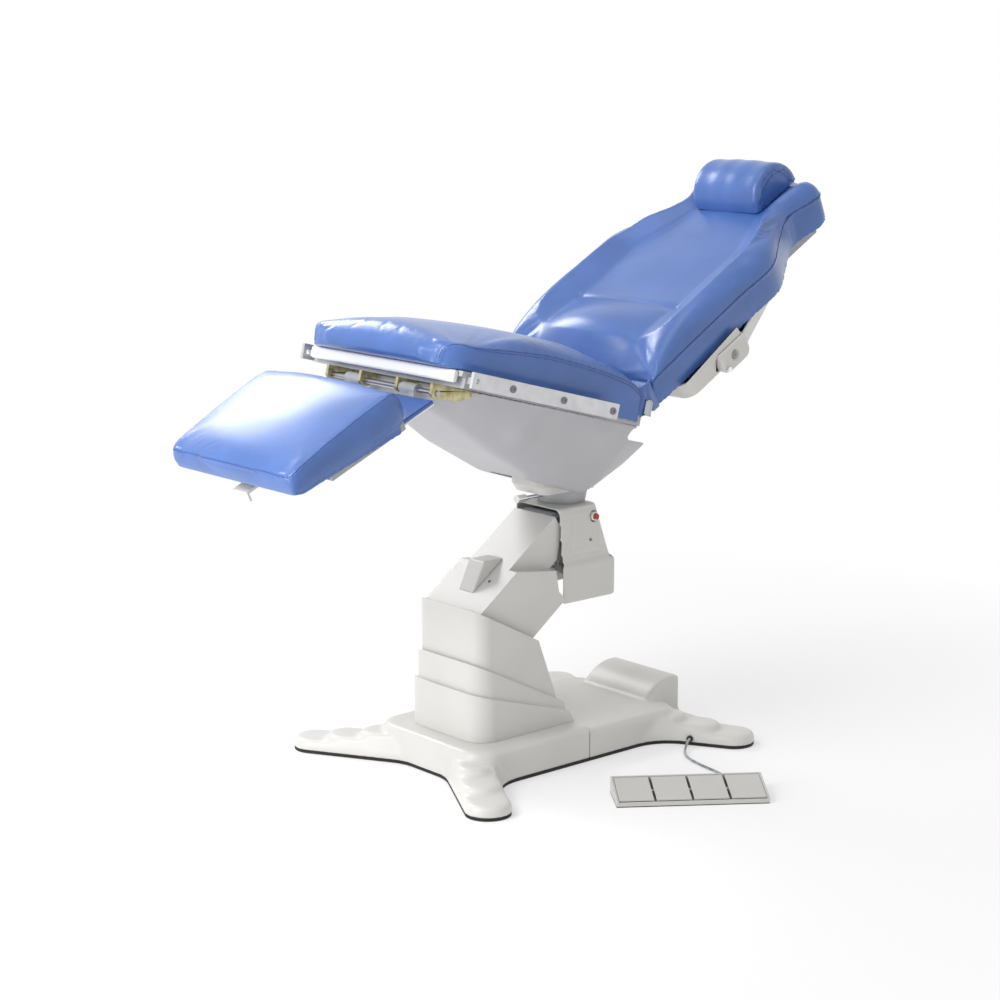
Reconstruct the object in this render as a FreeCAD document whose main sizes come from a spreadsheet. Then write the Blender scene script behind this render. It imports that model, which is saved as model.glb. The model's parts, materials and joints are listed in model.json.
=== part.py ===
import FreeCAD, Part
import math
import os
import Sketcher

# An examination chair on a lifting arm. Millimetres, +X towards the head end, +Y to the far side,
# +Z up. The origin is on the floor at the middle of the base.

DRIVING_SIZES = {
    # Running and assembly clearances
    "running_gap": 0.05,
    "soft_gap": 0.4,
    "cover_gap": 0.6,
    # Floor base
    "toe_x": 382,
    "toe_y": 310,
    "toe_radius": 52,
    "toe_lean": 60,
    "waist_front": 306,
    "waist_rear": 412,
    "waist_side": 190,
    "waist_round": 110,
    "seal_height": 8,
    "seal_width": 10,
    "plate_thickness": 10,
    "plate_lift": 4,
    "pad_radius": 24,
    "cover_wall": 4,
    "toe_height": 31,
    "step_height": 15,
    "step_reach": 78,
    "step_narrowing": 5,
    "edge_slope": 7,
    "deck_front": 82,
    "deck_rear": 74,
    "deck_round": 60,
    "cover_split_x": 33,
    "hump_front": 286,
    "hump_rear": 404,
    "hump_top": 120,
    "hump_half_width": 112,
    "power_unit_length": 60,
    "power_unit_height": 70,
    # Pylon
    "pylon_front": 237,
    "pylon_top_front": 383,
    "pylon_top_rear": 289,
    "pylon_rear_top": 59,
    "pylon_rear_bottom": 20,
    "pylon_half_width": 114,
    "pylon_step": 9,
    "pylon_round": 34,
    "step_one_front": 262,
    "step_one_rear": 133,
    "step_two_front": 195,
    "step_two_rear": 112,
    "cheek_inner": 52,
    "cheek_thickness": 8,
    "cheek_foot_rear": 80,
    "cheek_eye": 15,
    # Lift arm
    "arm_pivot_x": -212,
    "arm_pivot_z": 349,
    "arm_length": 326,
    "arm_angle": 36.5,
    "lift_travel": 44.5,
    "arm_face_rise": 26,
    "arm_depth": 134,
    "arm_cover_half": 98,
    "arm_upper_half": 70,
    "arm_cover_wall": 3.5,
    "arm_ledge_front": 143,
    "arm_ledge_rear": 231,
    "arm_chin_back": 23,
    "arm_heel_back": 18,
    "arm_belly_start": 40,
    "arm_root_back": 23,
    "arm_root_under": 2,
    "arm_jaw_back": 6,
    "arm_jaw_reach": 31,
    "arm_tip_drop": 10,
    "arm_ledge_drop": 58,
    "arm_face_short": 8,
    "arm_beam_half": 36,
    "arm_beam_height": 28,
    "cap_start": 55,
    "cap_peak": 124,
    "cap_end": 172,
    "cap_rise": 36,
    "cap_half": 26,
    "shaft_radius": 11,
    "tie_shaft_radius": 8,
    "hub_radius": 19,
    "hub_clearance": 1,
    "tie_offset_x": 10,
    "tie_offset_z": -100,
    "tie_thickness": 20,
    "tie_height": 30,
    "shaft_end": 3,
    # Head
    "head_half_top": 76,
    "head_half_ledge": 86,
    "head_round": 16,
    "skirt_step": 7,
    "head_wall": 3.5,
    "head_lip": 12,
    "head_plate_thickness": 10,
    "bearing_radius": 36,
    "bearing_height": 80,
    "button_radius": 7,
    "button_wall": 3.5,
    "button_proud": 5,
    "button_travel": 4,
    "lock_radius": 9,
    "lock_length": 26,
    "lock_reach": 90,
    # Swivel
    "column_radius": 24,
    "neck_low_radius": 56,
    "neck_high_radius": 62,
    "neck_height": 30,
    "saddle_half": 62,
    "saddle_height": 60,
    "saddle_wall": 3.5,
    "saddle_round": 40,
    "tilt_shaft_radius": 12,
    "tilt_cheek_inner": 34,
    "tilt_cheek_thickness": 10,
    "tilt_eye": 22,
    "tilt_foot_half": 50,
    "tilt_lug_neck": 7,
    "tilt_lug_thickness": 12,
    # Seat
    "seat_tilt": 15,
    "seat_front": -50,
    "seat_rear": 538,
    "seat_half": 274,
    "seat_bottom": 16,
    "seat_roll_rise": 16,
    "seat_edge_top": 116,
    "seat_crown": 124,
    "seat_skirt_front": 440,
    "seat_skirt_drop": 30,
    "board_thickness": 12,
    "board_overhang": 10,
    "board_half": 261,
    "front_board_height": 27,
    "front_board_thickness": 14,
    "front_board_half": 250,
    "frame_tube": 24,
    "frame_front": 12,
    "frame_rear": 545,
    "frame_half": 262,
    "cross_rear": 500,
    "rail_length": 434,
    "rail_height": 35,
    "rail_thickness": 8,
    "rail_outer": 300,
    "rail_hole_radius": 5,
    "rail_hole_inset": 14,
    "rail_screw_first": 115,
    "rail_screw_pitch": 151,
    "spacer_radius": 9,
    "screw_head_radius": 8,
    "screw_head_height": 2.2,
    "screw_socket_radius": 2.5,
    "pan_front": 50,
    "pan_rear": 655,
    "pan_half": 258,
    "pan_nose_half": 130,
    "pan_wall": 4,
    "pan_top": -20,
    "pan_rear_top": -50,
    "pan_depth": 176,
    "leg_hinge_u": 9,
    "leg_hinge_w": -40,
    "leg_rod_radius": 6,
    "leg_ear_thickness": 8,
    "leg_ear_y": 178,
    "leg_inner_ear_y": 60,
    "leg_ear_length": 97,
    "back_hinge_u": 552,
    "back_hinge_w": 27,
    "back_pin_radius": 7,
    "lug_ring": 4,
    "lug_land": 6,
    "lug_relief": 0.5,
    "ear_ring": 5,
    "back_lug_thickness": 7,
    "back_pin_head": 4,
    # Backrest
    "back_angle": 30,
    "back_half": 268,
    "back_end_half": 110,
    "neck_half": 170,
    "head_half": 188,
    "back_start": 20,
    "lumbar_at": 165,
    "panel_at": 285,
    "shoulder_at": 500,
    "neck_at": 690,
    "head_at": 757,
    "back_length": 845,
    "back_side_lean": 8,
    "back_under": -28,
    "back_seam": 46,
    "bolster_top": 104,
    "back_panel": 74,
    "lumbar_rise": 36,
    "back_tube": 20,
    "back_tube_half": 150,
    "back_tube_end": 770,
    "back_bar_at": 40,
    "shell_start": 112,
    "shell_end": 640,
    "shell_half": 273,
    "shell_end_half": 165,
    "shell_corner": 30,
    "shell_depth": 58,
    "shell_wall": 4,
    "shell_slope": 24,
    "socket_radius": 12,
    "socket_along": 285,
    "socket_length": 100,
    "socket_corner": 22,
    "socket_drop": 58,
    "socket_thickness": 29,
    "socket_proud": 6,
    "socket_depth": 24,
    "rim_thickness": 3,
    "rim_rise": 22,
    "socket_bolt_radius": 6,
    "pillow_from_end": 114,
    "pillow_radius": 84,
    "pillow_half": 110,
    "pillow_height": 88,
    # Leg rest
    "leg_angle": 24,
    "tongue_rear": 22,
    "tongue_front": 290,
    "tongue_half": 196,
    "tongue_thickness": 12,
    "leg_bar_short": 5,
    "leg_bar_half": 122,
    "leg_bar": 20,
    "leg_eye_radius": 13,
    "footpad_rear": 112,
    "footpad_front": 430,
    "footpad_half": 228,
    "footpad_edge_top": 76,
    "footpad_crown": 92,
    "footboard_thickness": 8,
    "footboard_lip": 7,
    "footboard_inset": 24,
    "pad_skirt": 26,
    "lever_at": 352,
    "lever_length": 72,
    "lever_half": 26,
    "lever_drop": 18,
    "lever_tip": 20,
    "lever_thickness": 5,
    "lever_pin_radius": 3,
    # Foot control
    "control_x": 128,
    "control_y": -663,
    "control_turn": 54,
    "control_length": 338,
    "control_depth": 106,
    "control_back": 37,
    "control_front": 15,
    "control_mat": 2,
    "control_end": 5,
    "control_lip": 4,
    "pedal_gap": 6,
    "pedal_end_gap": 1,
    "pedal_rear_gap": 1.6,
    "pedal_thickness": 4,
    "pedal_axle_at": 55,
    "pedal_axle_z": 18,
    "pedal_axle_radius": 3,
    "pedal_boss_radius": 5.5,
    "relief_along": 63,
    "relief_length": 14,
    # Cable of the foot control
    "cord_diameter": 6,
    "gland_radius": 5.5,
    "gland_flange": 7.5,
    "gland_flange_length": 3,
    "gland_z": 16,
    "gland_back": 90,
}

# How far places lie behind the upper pivot of the lift arm
BEHIND_PIVOT = {
    "head_front": -23.06,
    "head_rear_top": 107.94,
    "head_rear_ledge": 145.94,
    "head_cheek_rear": 89.94,
    "swivel_x": 61.94,
    "button_x": 95.94,
    "saddle_front": -60.06,
    "saddle_rear": 135.94,
    "seat_anchor_x": -463.06,
}
# How far places lie above the upper pivot of the lift arm
ABOVE_PIVOT = {
    "head_top": 35.09,
    "head_ledge": -92.91,
    "head_bottom": -192.91,
    "head_cheek_bottom": -137.91,
    "button_z": 3.09,
    "tilt_axis_z": 173.09,
    "seat_anchor_z": 404.09,
}

doc = FreeCAD.newDocument("examination_chair")
sheet = doc.addObject("Spreadsheet::Sheet", "Sizes")
PIVOT_X = "arm_pivot_x + arm_length * cos(arm_angle * 1 deg)"
PIVOT_Z = "arm_pivot_z + arm_length * sin(arm_angle * 1 deg)"
SHEET_ROWS = [(alias, str(number)) for alias, number in DRIVING_SIZES.items()]
for pivot, places in ((PIVOT_X, BEHIND_PIVOT), (PIVOT_Z, ABOVE_PIVOT)):
    for alias, number in places.items():
        SHEET_ROWS.append((alias + "_offset", str(number)))
        SHEET_ROWS.append((alias, "=%s + %s_offset" % (pivot, alias)))
for row, (alias, cell) in enumerate(SHEET_ROWS, start=1):
    sheet.set("A%d" % row, alias)
    sheet.set("B%d" % row, cell)
    sheet.setAlias("B%d" % row, alias)
doc.recompute()


class Size:
    """A number together with the sheet expression that it comes from."""

    def __init__(self, value, text):
        self.value = float(value)
        self.text = text

    def __add__(self, other):
        other = as_size(other)
        return Size(self.value + other.value, "(%s + %s)" % (self.text, other.text))

    def __sub__(self, other):
        other = as_size(other)
        return Size(self.value - other.value, "(%s - %s)" % (self.text, other.text))

    def __mul__(self, other):
        other = as_size(other)
        return Size(self.value * other.value, "(%s * %s)" % (self.text, other.text))

    def __truediv__(self, other):
        other = as_size(other)
        return Size(self.value / other.value, "(%s / %s)" % (self.text, other.text))

    def __radd__(self, other):
        return as_size(other) + self

    def __rsub__(self, other):
        return as_size(other) - self

    def __rmul__(self, other):
        return as_size(other) * self

    def __neg__(self):
        return Size(-self.value, "(0 - %s)" % self.text)

    def __float__(self):
        return self.value


def as_size(number):
    if isinstance(number, Size):
        return number
    return Size(number, repr(float(number)))


def size(alias):
    return Size(sheet.get(alias), "Sizes.%s" % alias)


def mm(alias):
    return float(sheet.get(alias))


NODES = []


def bind(thing, prop, number):
    thing.setExpression(prop, as_size(number).text)


def node(label, thing, frame=None):
    """Gives a finished sub-part its name and its frame."""
    if frame is not None:
        if thing.TypeId in ("Part::Box", "Part::Cylinder", "Part::Extrusion", "Part::Cone"):
            holder = doc.addObject("Part::Compound", label + "_placed")
            holder.Links = [thing]
            thing = holder
        thing.Placement = frame
    thing.Label = label
    NODES.append(thing)
    return thing


def block(name, across, along, up):
    """A box between two values on each axis."""
    piece = doc.addObject("Part::Box", name)
    for side, prop, axis in zip((across, along, up), ("Length", "Width", "Height"), "xyz"):
        low = as_size(side[0])
        bind(piece, prop, as_size(side[1]) - low)
        bind(piece, "Placement.Base.%s" % axis, low)
    return piece


AXIS_TURN = {
    "x": FreeCAD.Rotation(FreeCAD.Vector(0, 1, 0), 90),
    "y": FreeCAD.Rotation(FreeCAD.Vector(1, 0, 0), -90),
    "z": FreeCAD.Rotation(),
}


def rod(name, axis, centre, radius, low, high):
    """A cylinder along x, y or z. The centre gives its other two coordinates in axis order."""
    piece = doc.addObject("Part::Cylinder", name)
    bind(piece, "Radius", radius)
    bind(piece, "Height", as_size(high) - as_size(low))
    piece.Placement = FreeCAD.Placement(FreeCAD.Vector(), AXIS_TURN[axis])
    bind(piece, "Placement.Base.%s" % axis, low)
    for other, number in zip("xyz".replace(axis, ""), centre):
        bind(piece, "Placement.Base.%s" % other, number)
    return piece


def join(name, pieces):
    whole = doc.addObject("Part::MultiFuse", name)
    whole.Shapes = list(pieces)
    return whole


def cut(name, base, tools):
    tools = list(tools)
    tool = tools[0] if len(tools) == 1 else join(name + "_tools", tools)
    result = doc.addObject("Part::Cut", name)
    result.Base = base
    result.Tool = tool
    return result


def group(name, pieces):
    whole = doc.addObject("Part::Compound", name)
    whole.Links = list(pieces)
    return whole


def plate(name, outline, low_y, high_y, holes=()):
    """A side-view outline of (x, z) corners with round holes, pushed out along y."""
    sketch = doc.addObject("Sketcher::SketchObject", name + "_sketch")
    sketch.Placement = FreeCAD.Placement(FreeCAD.Vector(), FreeCAD.Rotation(FreeCAD.Vector(1, 0, 0), 90))
    corners = [(as_size(x), as_size(z)) for x, z in outline]
    count = len(corners)
    points = [FreeCAD.Vector(float(x), float(z), 0) for x, z in corners]
    for index in range(count):
        sketch.addGeometry(Part.LineSegment(points[index], points[(index + 1) % count]), False)
    for index in range(count):
        sketch.addConstraint(Sketcher.Constraint("Coincident", index, 2, (index + 1) % count, 1))
    for index, (x, z) in enumerate(corners):
        pin_point(sketch, index, 1, x, z)
    for x, z, radius in holes:
        ring = sketch.addGeometry(circle_at(as_size(x), as_size(z), as_size(radius)), False)
        pin_point(sketch, ring, 3, as_size(x), as_size(z))
        number = sketch.addConstraint(Sketcher.Constraint("Radius", ring, float(as_size(radius))))
        bind(sketch, "Constraints[%d]" % number, radius)
    bind(sketch, "Placement.Base.y", low_y)
    solid = doc.addObject("Part::Extrusion", name)
    solid.Base = sketch
    solid.DirMode = "Custom"
    solid.Dir = FreeCAD.Vector(0, 1, 0)
    bind(solid, "LengthFwd", as_size(high_y) - as_size(low_y))
    solid.Solid = True
    return solid


def circle_at(x, z, radius):
    return Part.Circle(FreeCAD.Vector(float(x), float(z), 0), FreeCAD.Vector(0, 0, 1), float(radius))


def pin_point(sketch, geometry, end, x, z):
    """Holds a sketch point at its two distances from the sketch's origin."""
    for kind, number in (("DistanceX", x), ("DistanceY", z)):
        index = sketch.addConstraint(Sketcher.Constraint(kind, -1, 1, geometry, end, float(number)))
        bind(sketch, "Constraints[%d]" % index, number)


def shape_node(label, shape, frame=None):
    """A sub-part whose surface is lofted or swept from the sheet's sizes."""
    piece = doc.addObject("Part::Feature", label)
    piece.Shape = shape
    return node(label, piece, frame)


def vec(x, y, z):
    return FreeCAD.Vector(float(x), float(y), float(z))


def frame_at(x, z, turn):
    """A frame at a point of the middle plane, turned about the cross axis (front end up is positive)."""
    return FreeCAD.Placement(vec(x, 0, z), FreeCAD.Rotation(FreeCAD.Vector(0, 1, 0), turn))


def rounded_wire(corners, height):
    """A closed outline at one height: (x, y, radius) corners joined by lines and tangent arcs."""
    count = len(corners)
    starts, ends, middles = [], [], []
    for index in range(count):
        here = vec(corners[index][0], corners[index][1], height)
        before = vec(corners[index - 1][0], corners[index - 1][1], height)
        after = vec(corners[(index + 1) % count][0], corners[(index + 1) % count][1], height)
        back = (before - here).normalize()
        ahead = (after - here).normalize()
        half_turn = back.getAngle(ahead) / 2
        radius = corners[index][2]
        reach = radius / math.tan(half_turn)
        bisector = (back + ahead).normalize()
        starts.append(here + back * reach)
        ends.append(here + ahead * reach)
        middles.append(here + bisector * (radius / math.sin(half_turn) - radius))
    edges = []
    for index in range(count):
        edges.append(Part.Arc(starts[index], middles[index], ends[index]).toShape())
        following = starts[(index + 1) % count]
        if ends[index].distanceToPoint(following) > 1e-6:
            edges.append(Part.LineSegment(ends[index], following).toShape())
    return Part.Wire(edges)


def prism_between(low_wire, high_wire):
    return Part.makeLoft([low_wire, high_wire], True, True)



def cosine(alias):
    return Size(math.cos(math.radians(mm(alias))), "cos(Sizes.%s * 1 deg)" % alias)


def sine(alias):
    return Size(math.sin(math.radians(mm(alias))), "sin(Sizes.%s * 1 deg)" % alias)


# Far reach of a trimming box, beyond every outline
BEYOND = 700
# Least corner radius of an outline that is square to the eye
SQUARE = 1


# Base outline

def toe_quarter(waist_x, pull, narrowing):
    """One toe with its fillets to the end and to the side of the base."""
    lean = math.radians(mm("toe_lean"))
    out_x, out_y = math.cos(lean), math.sin(lean)
    radius = mm("toe_radius") - narrowing
    waist_y = mm("waist_side") - narrowing
    tip_x = mm("toe_x") + (radius - pull) * out_x
    tip_y = mm("toe_y") + (radius - pull) * out_y
    outer = (tip_x + radius * out_y, tip_y - radius * out_x)
    inner = (tip_x - radius * out_y, tip_y + radius * out_x)
    end_fall = (outer[0] - waist_x) / out_x
    end = (waist_x, outer[1] - end_fall * out_y)
    side_fall = (inner[1] - waist_y) / out_y
    side = (inner[0] - side_fall * out_x, waist_y)
    tip_round = radius * 0.96
    end_round = min(mm("waist_round"), 3.2 * (end_fall - tip_round))
    return [
        (end[0], end[1], end_round),
        (outer[0], outer[1], tip_round),
        (inner[0], inner[1], tip_round),
        (side[0], side[1], mm("waist_round")),
    ]


def base_corners(pull, narrowing):
    """The four-toed outline. Pull draws the toes in along their lean, narrowing makes them slimmer."""
    rear_waist = mm("waist_rear") - pull * math.cos(math.radians(mm("toe_lean")))
    corners = []
    for sign_x, sign_y in ((1, 1), (-1, 1), (-1, -1), (1, -1)):
        waist = rear_waist if sign_x > 0 else mm("waist_front")
        toe = [(sign_x * x, sign_y * y, r) for x, y, r in toe_quarter(waist - narrowing, pull, narrowing)]
        corners += toe if sign_x * sign_y > 0 else toe[::-1]
    return corners


def base_level(pull, narrowing, low, high, slope):
    """One step of the base: an upright wall with a sloped shoulder on top."""
    wire_low = rounded_wire(base_corners(pull, narrowing), low)
    wire_mid = rounded_wire(base_corners(pull, narrowing), high - slope)
    wire_high = rounded_wire(base_corners(pull, narrowing + slope), high)
    return prism_between(wire_low, wire_mid).fuse(prism_between(wire_mid, wire_high))


def round_plan(low_x, high_x, half, low_round, high_round):
    return [
        (low_x, -half, low_round), (low_x, half, low_round),
        (high_x, half, high_round), (high_x, -half, high_round),
    ]


def deck(low_x, high_x, low, high, low_round, high_round, inset):
    """A raised deck with a sloped shoulder."""
    half, slope = mm("waist_side") - inset, mm("edge_slope")
    shoulder = high - slope
    side = round_plan(low_x, high_x, half, low_round, high_round)
    top = round_plan(low_x + slope, high_x - slope, half - slope, low_round, high_round)
    middle = rounded_wire(side, shoulder)
    return prism_between(rounded_wire(side, low), middle).fuse(
        prism_between(middle, rounded_wire(top, high)))


def base_cover_solid(inset, rear):
    """Outer form of one base cover, drawn in by a wall."""
    low = mm("seal_height") if inset == 0 else -inset
    toe, step, reach = mm("toe_height"), mm("step_height"), mm("step_reach")
    slope, slimmer = mm("edge_slope"), mm("step_narrowing")
    whole = base_level(0, inset, low, toe - inset, slope)
    for number in (1, 2):
        level = base_level(
            number * reach, number * slimmer + inset, low, toe + number * step - inset, slope)
        whole = whole.fuse(level)
    split, spare = mm("cover_split_x"), 4 * slope
    rounding = mm("deck_round")
    if rear:
        end = mm("waist_rear") - 2 * reach * math.cos(math.radians(mm("toe_lean"))) - inset
        top = deck(split - spare, end, low, mm("deck_rear") - inset, SQUARE, rounding, inset)
        return whole.fuse(top).fuse(hump_solid(inset, low)).common(side_box(split, BEYOND))
    start = -mm("waist_front") + inset
    top = deck(start, split + spare, low, mm("deck_front") - inset, rounding, SQUARE, inset)
    return whole.fuse(top).common(side_box(-BEYOND, split))


def hump_solid(inset, low):
    """Quarter-round hump over the power unit, square at the rear."""
    front, rear, top = mm("hump_front") + inset, mm("hump_rear") - inset, mm("hump_top") - inset
    start = mm("deck_rear") - mm("edge_slope") - inset
    middle = vec(front + (rear - front) * 0.38, 0, start + (top - start) * 0.80)
    edges = [
        Part.LineSegment(vec(rear, 0, top), vec(rear, 0, low)).toShape(),
        Part.LineSegment(vec(rear, 0, low), vec(front, 0, low)).toShape(),
        Part.LineSegment(vec(front, 0, low), vec(front, 0, start)).toShape(),
        Part.Arc(vec(front, 0, start), middle, vec(rear, 0, top)).toShape(),
    ]
    half = mm("hump_half_width") - inset
    solid = Part.Face(Part.Wire(edges)).extrude(vec(0, 2 * half, 0))
    solid.translate(vec(0, -half, 0))
    return solid


def side_box(low_x, high_x):
    return Part.makeBox(high_x - low_x, 2 * BEYOND, BEYOND, vec(low_x, -BEYOND, -BEYOND / 10))


# Pylon

def pylon_tier(front, half, front_top, rear_top_x, rear_top, rear_low_x, low, round_radius):
    """A pylon step: sloped top, round front corners."""
    outline = [
        vec(-front, 0, low), vec(-front, 0, front_top),
        vec(rear_top_x, 0, rear_top), vec(rear_low_x, 0, low),
    ]
    wedge = Part.Face(Part.makePolygon(outline + outline[:1])).extrude(vec(0, 2 * half, 0))
    wedge.translate(vec(0, -half, 0))
    plan = round_plan(-front, rear_low_x + front, half, round_radius, SQUARE)
    column = Part.Face(rounded_wire(plan, low)).extrude(vec(0, 0, front_top - low))
    return wedge.common(column)


def make_pylon(inset, count=3):
    """The stacked pylon steps, drawn in by a wall."""
    step = mm("pylon_step")
    front, half = mm("pylon_front"), mm("pylon_half_width")
    floor = mm("deck_front") - inset
    rear_top, rear_low = -mm("pylon_rear_top"), mm("pylon_rear_bottom")
    tiers = (
        (0, mm("pylon_top_front"), rear_top, mm("pylon_top_rear"), rear_low),
        (1, mm("step_one_front"), rear_low - step, mm("step_one_rear"), rear_low + step),
        (2, mm("step_two_front"), rear_low, mm("step_two_rear"), rear_low + 2 * step),
    )
    whole = None
    for number, front_top, rear_x, rear_z, low_x in tiers[:count]:
        grow = number * step - inset
        tier = pylon_tier(
            front + grow, half + grow, front_top - inset, rear_x, rear_z - inset, low_x, floor,
            mm("pylon_round") + grow)
        whole = tier if whole is None else whole.fuse(tier)
    return whole


def moved(shape, along, up):
    copy = shape.copy()
    copy.translate(vec(along, 0, up))
    return copy


def make_base_shells():
    wall, split, gap = mm("cover_wall"), mm("cover_split_x"), mm("cover_gap")
    front = base_cover_solid(0, False).cut(base_cover_solid(wall, False))
    rear = base_cover_solid(0, True).cut(base_cover_solid(wall, True))
    front = front.common(side_box(-BEYOND, split - gap / 2))
    rear = rear.common(side_box(split + gap / 2, BEYOND))
    rim = 2 * wall
    start, half = -mm("pylon_front") + rim, mm("pylon_half_width") - rim
    well_long = mm("pylon_rear_bottom") - start - rim
    well = Part.makeBox(well_long, 2 * half, mm("deck_front"), vec(start, -half, mm("plate_lift")))
    gland = gland_place()
    outward = gland.Rotation.multVec(vec(0, 0, 1))
    hole = Part.makeCylinder(
        mm("gland_radius"), 4 * wall, gland.Base - outward * (3 * wall), outward)
    shape_node("front_base_cover", front.cut(well).removeSplitter())
    shape_node("rear_base_cover", rear.cut(hole).removeSplitter())

    shaft = make_pylon(wall, 1)
    hollow = make_pylon(wall).fuse(moved(shaft, 0, 2 * wall))
    for shift in (4, 12, 24):
        hollow = hollow.fuse(moved(shaft, shift * wall, 0))
    shape_node("pylon_cover", make_pylon(0).cut(hollow).removeSplitter())

    rim = SQUARE
    seal_out = Part.Face(rounded_wire(base_corners(0, rim), 0))
    seal_in = Part.Face(rounded_wire(base_corners(0, rim + mm("seal_width")), 0))
    shape_node("floor_seal", seal_out.cut(seal_in).extrude(vec(0, 0, mm("seal_height"))))
    plate_in = rim + mm("seal_width") + mm("soft_gap")
    plate_face = Part.Face(rounded_wire(base_corners(0, plate_in), mm("plate_lift")))
    gland_room = Part.makeCylinder(
        mm("gland_radius") + mm("cover_gap"), 5 * wall, vec(0, 0, -4 * wall), vec(0, 0, 1))
    gland_room.Placement = gland_place()
    shape_node("base_plate", plate_face.extrude(vec(0, 0, mm("plate_thickness"))).cut(gland_room))


def gland_place():
    """Where the cable leaves the near rear flank of the base, pointing outwards."""
    lean = math.radians(mm("toe_lean"))
    radius = mm("toe_radius")
    flank_x = mm("toe_x") - radius * math.sin(lean)
    flank_y = -mm("toe_y") - radius * math.cos(lean)
    back = mm("gland_back")
    spot = vec(flank_x - back * math.cos(lean), flank_y + back * math.sin(lean), mm("gland_z"))
    outward = vec(-math.sin(lean), -math.cos(lean), 0)
    return FreeCAD.Placement(spot, FreeCAD.Rotation(FreeCAD.Vector(0, 0, 1), outward))


# Pivots and frames

ARM_X, ARM_Z = size("arm_pivot_x"), size("arm_pivot_z")
TIE_X, TIE_Z = ARM_X + size("tie_offset_x"), ARM_Z + size("tie_offset_z")
REACH_X = size("arm_length") * cosine("arm_angle")
REACH_Z = size("arm_length") * sine("arm_angle")
HEAD_X, HEAD_Z = ARM_X + REACH_X, ARM_Z + REACH_Z
TIE_HEAD_X, TIE_HEAD_Z = TIE_X + REACH_X, TIE_Z + REACH_Z
SWIVEL_X = size("swivel_x")
CHEEK_IN = size("cheek_inner")
CHEEK_OUT = CHEEK_IN + size("cheek_thickness")
SHAFT_END = CHEEK_OUT + size("shaft_end")
PLATE_TOP = size("plate_lift") + size("plate_thickness")

ARM = frame_at(ARM_X, ARM_Z, -mm("arm_angle"))
TIE = frame_at(TIE_X, TIE_Z, -mm("arm_angle"))
SEAT = frame_at(mm("seat_anchor_x"), mm("seat_anchor_z"), mm("seat_tilt"))
BACK_ORIGIN = SEAT.multVec(vec(mm("back_hinge_u"), 0, mm("back_hinge_w")))
BACK = frame_at(BACK_ORIGIN.x, BACK_ORIGIN.z, -mm("back_angle"))
LEG_ORIGIN = SEAT.multVec(vec(mm("leg_hinge_u"), 0, mm("leg_hinge_w")))
LEG_TURN = math.radians(mm("leg_angle"))
LEG = FreeCAD.Placement(LEG_ORIGIN, FreeCAD.Rotation(
    vec(-math.cos(LEG_TURN), 0, -math.sin(LEG_TURN)), vec(0, -1, 0),
    vec(-math.sin(LEG_TURN), 0, math.cos(LEG_TURN)), "XYZ"))
CONTROL = FreeCAD.Placement(
    vec(mm("control_x"), mm("control_y"), 0), FreeCAD.Rotation(vec(0, 0, 1), mm("control_turn")))


def both_sides(maker, name, inner, outer):
    """The same piece on the far and on the near side of the middle plane."""
    return [maker(name + "_far", inner, outer), maker(name + "_near", -outer, -inner)]


def make_base_inside():
    pads = []
    for number, (sign_x, sign_y) in enumerate(((1, 1), (1, -1), (-1, 1), (-1, -1)), start=1):
        pads.append(rod(
            "pad_%d" % number, "z", (sign_x * size("toe_x"), sign_y * size("toe_y")),
            size("pad_radius"), 0, size("plate_lift")))
    node("levelling_pads", group("pads", pads))

    eye = size("cheek_eye")
    front = ARM_X - eye
    rear = -size("cheek_foot_rear")
    outline = [
        (front, PLATE_TOP), (rear, PLATE_TOP), (ARM_X + eye, ARM_Z + eye), (front, ARM_Z + eye)]
    holes = [(ARM_X, ARM_Z, size("shaft_radius")), (TIE_X, TIE_Z, size("tie_shaft_radius"))]
    cheeks = both_sides(
        lambda name, low, high: plate(name, outline, low, high, holes), "pylon_cheek", CHEEK_IN, CHEEK_OUT)
    thick = size("cheek_thickness")
    foot = block("pylon_foot", (front, rear), (-CHEEK_IN, CHEEK_IN), (PLATE_TOP, PLATE_TOP + thick))
    web = block(
        "pylon_web", (front, front + thick), (-CHEEK_IN, CHEEK_IN),
        (PLATE_TOP + thick, size("step_two_front")))
    node("pylon_frame", join("pylon_weld", cheeks + [foot, web]))
    node("lower_main_shaft", rod(
        "lower_main", "y", (ARM_X, ARM_Z), size("shaft_radius"), -SHAFT_END, SHAFT_END))
    node("lower_tie_shaft", rod(
        "lower_tie", "y", (TIE_X, TIE_Z), size("tie_shaft_radius"), -SHAFT_END, SHAFT_END))

    wall = size("cover_wall")
    unit_rear = size("hump_rear") - 2 * wall
    unit_half = size("hump_half_width") - 4 * wall
    node("power_unit", block(
        "power_box", (unit_rear - size("power_unit_length"), unit_rear), (-unit_half, unit_half),
        (PLATE_TOP, PLATE_TOP + size("power_unit_height"))))

    stem = rod("gland_stem", "z", (0, 0), size("gland_radius"), -3 * wall, 0)
    flange = rod("gland_ring", "z", (0, 0), size("gland_flange"), 0, size("gland_flange_length"))
    node("cable_gland", join("gland_whole", [stem, flange]), gland_place())


# Foot control and its cable

PEDAL_NAMES = ("pedal_one", "pedal_two", "pedal_three", "pedal_four")


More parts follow.
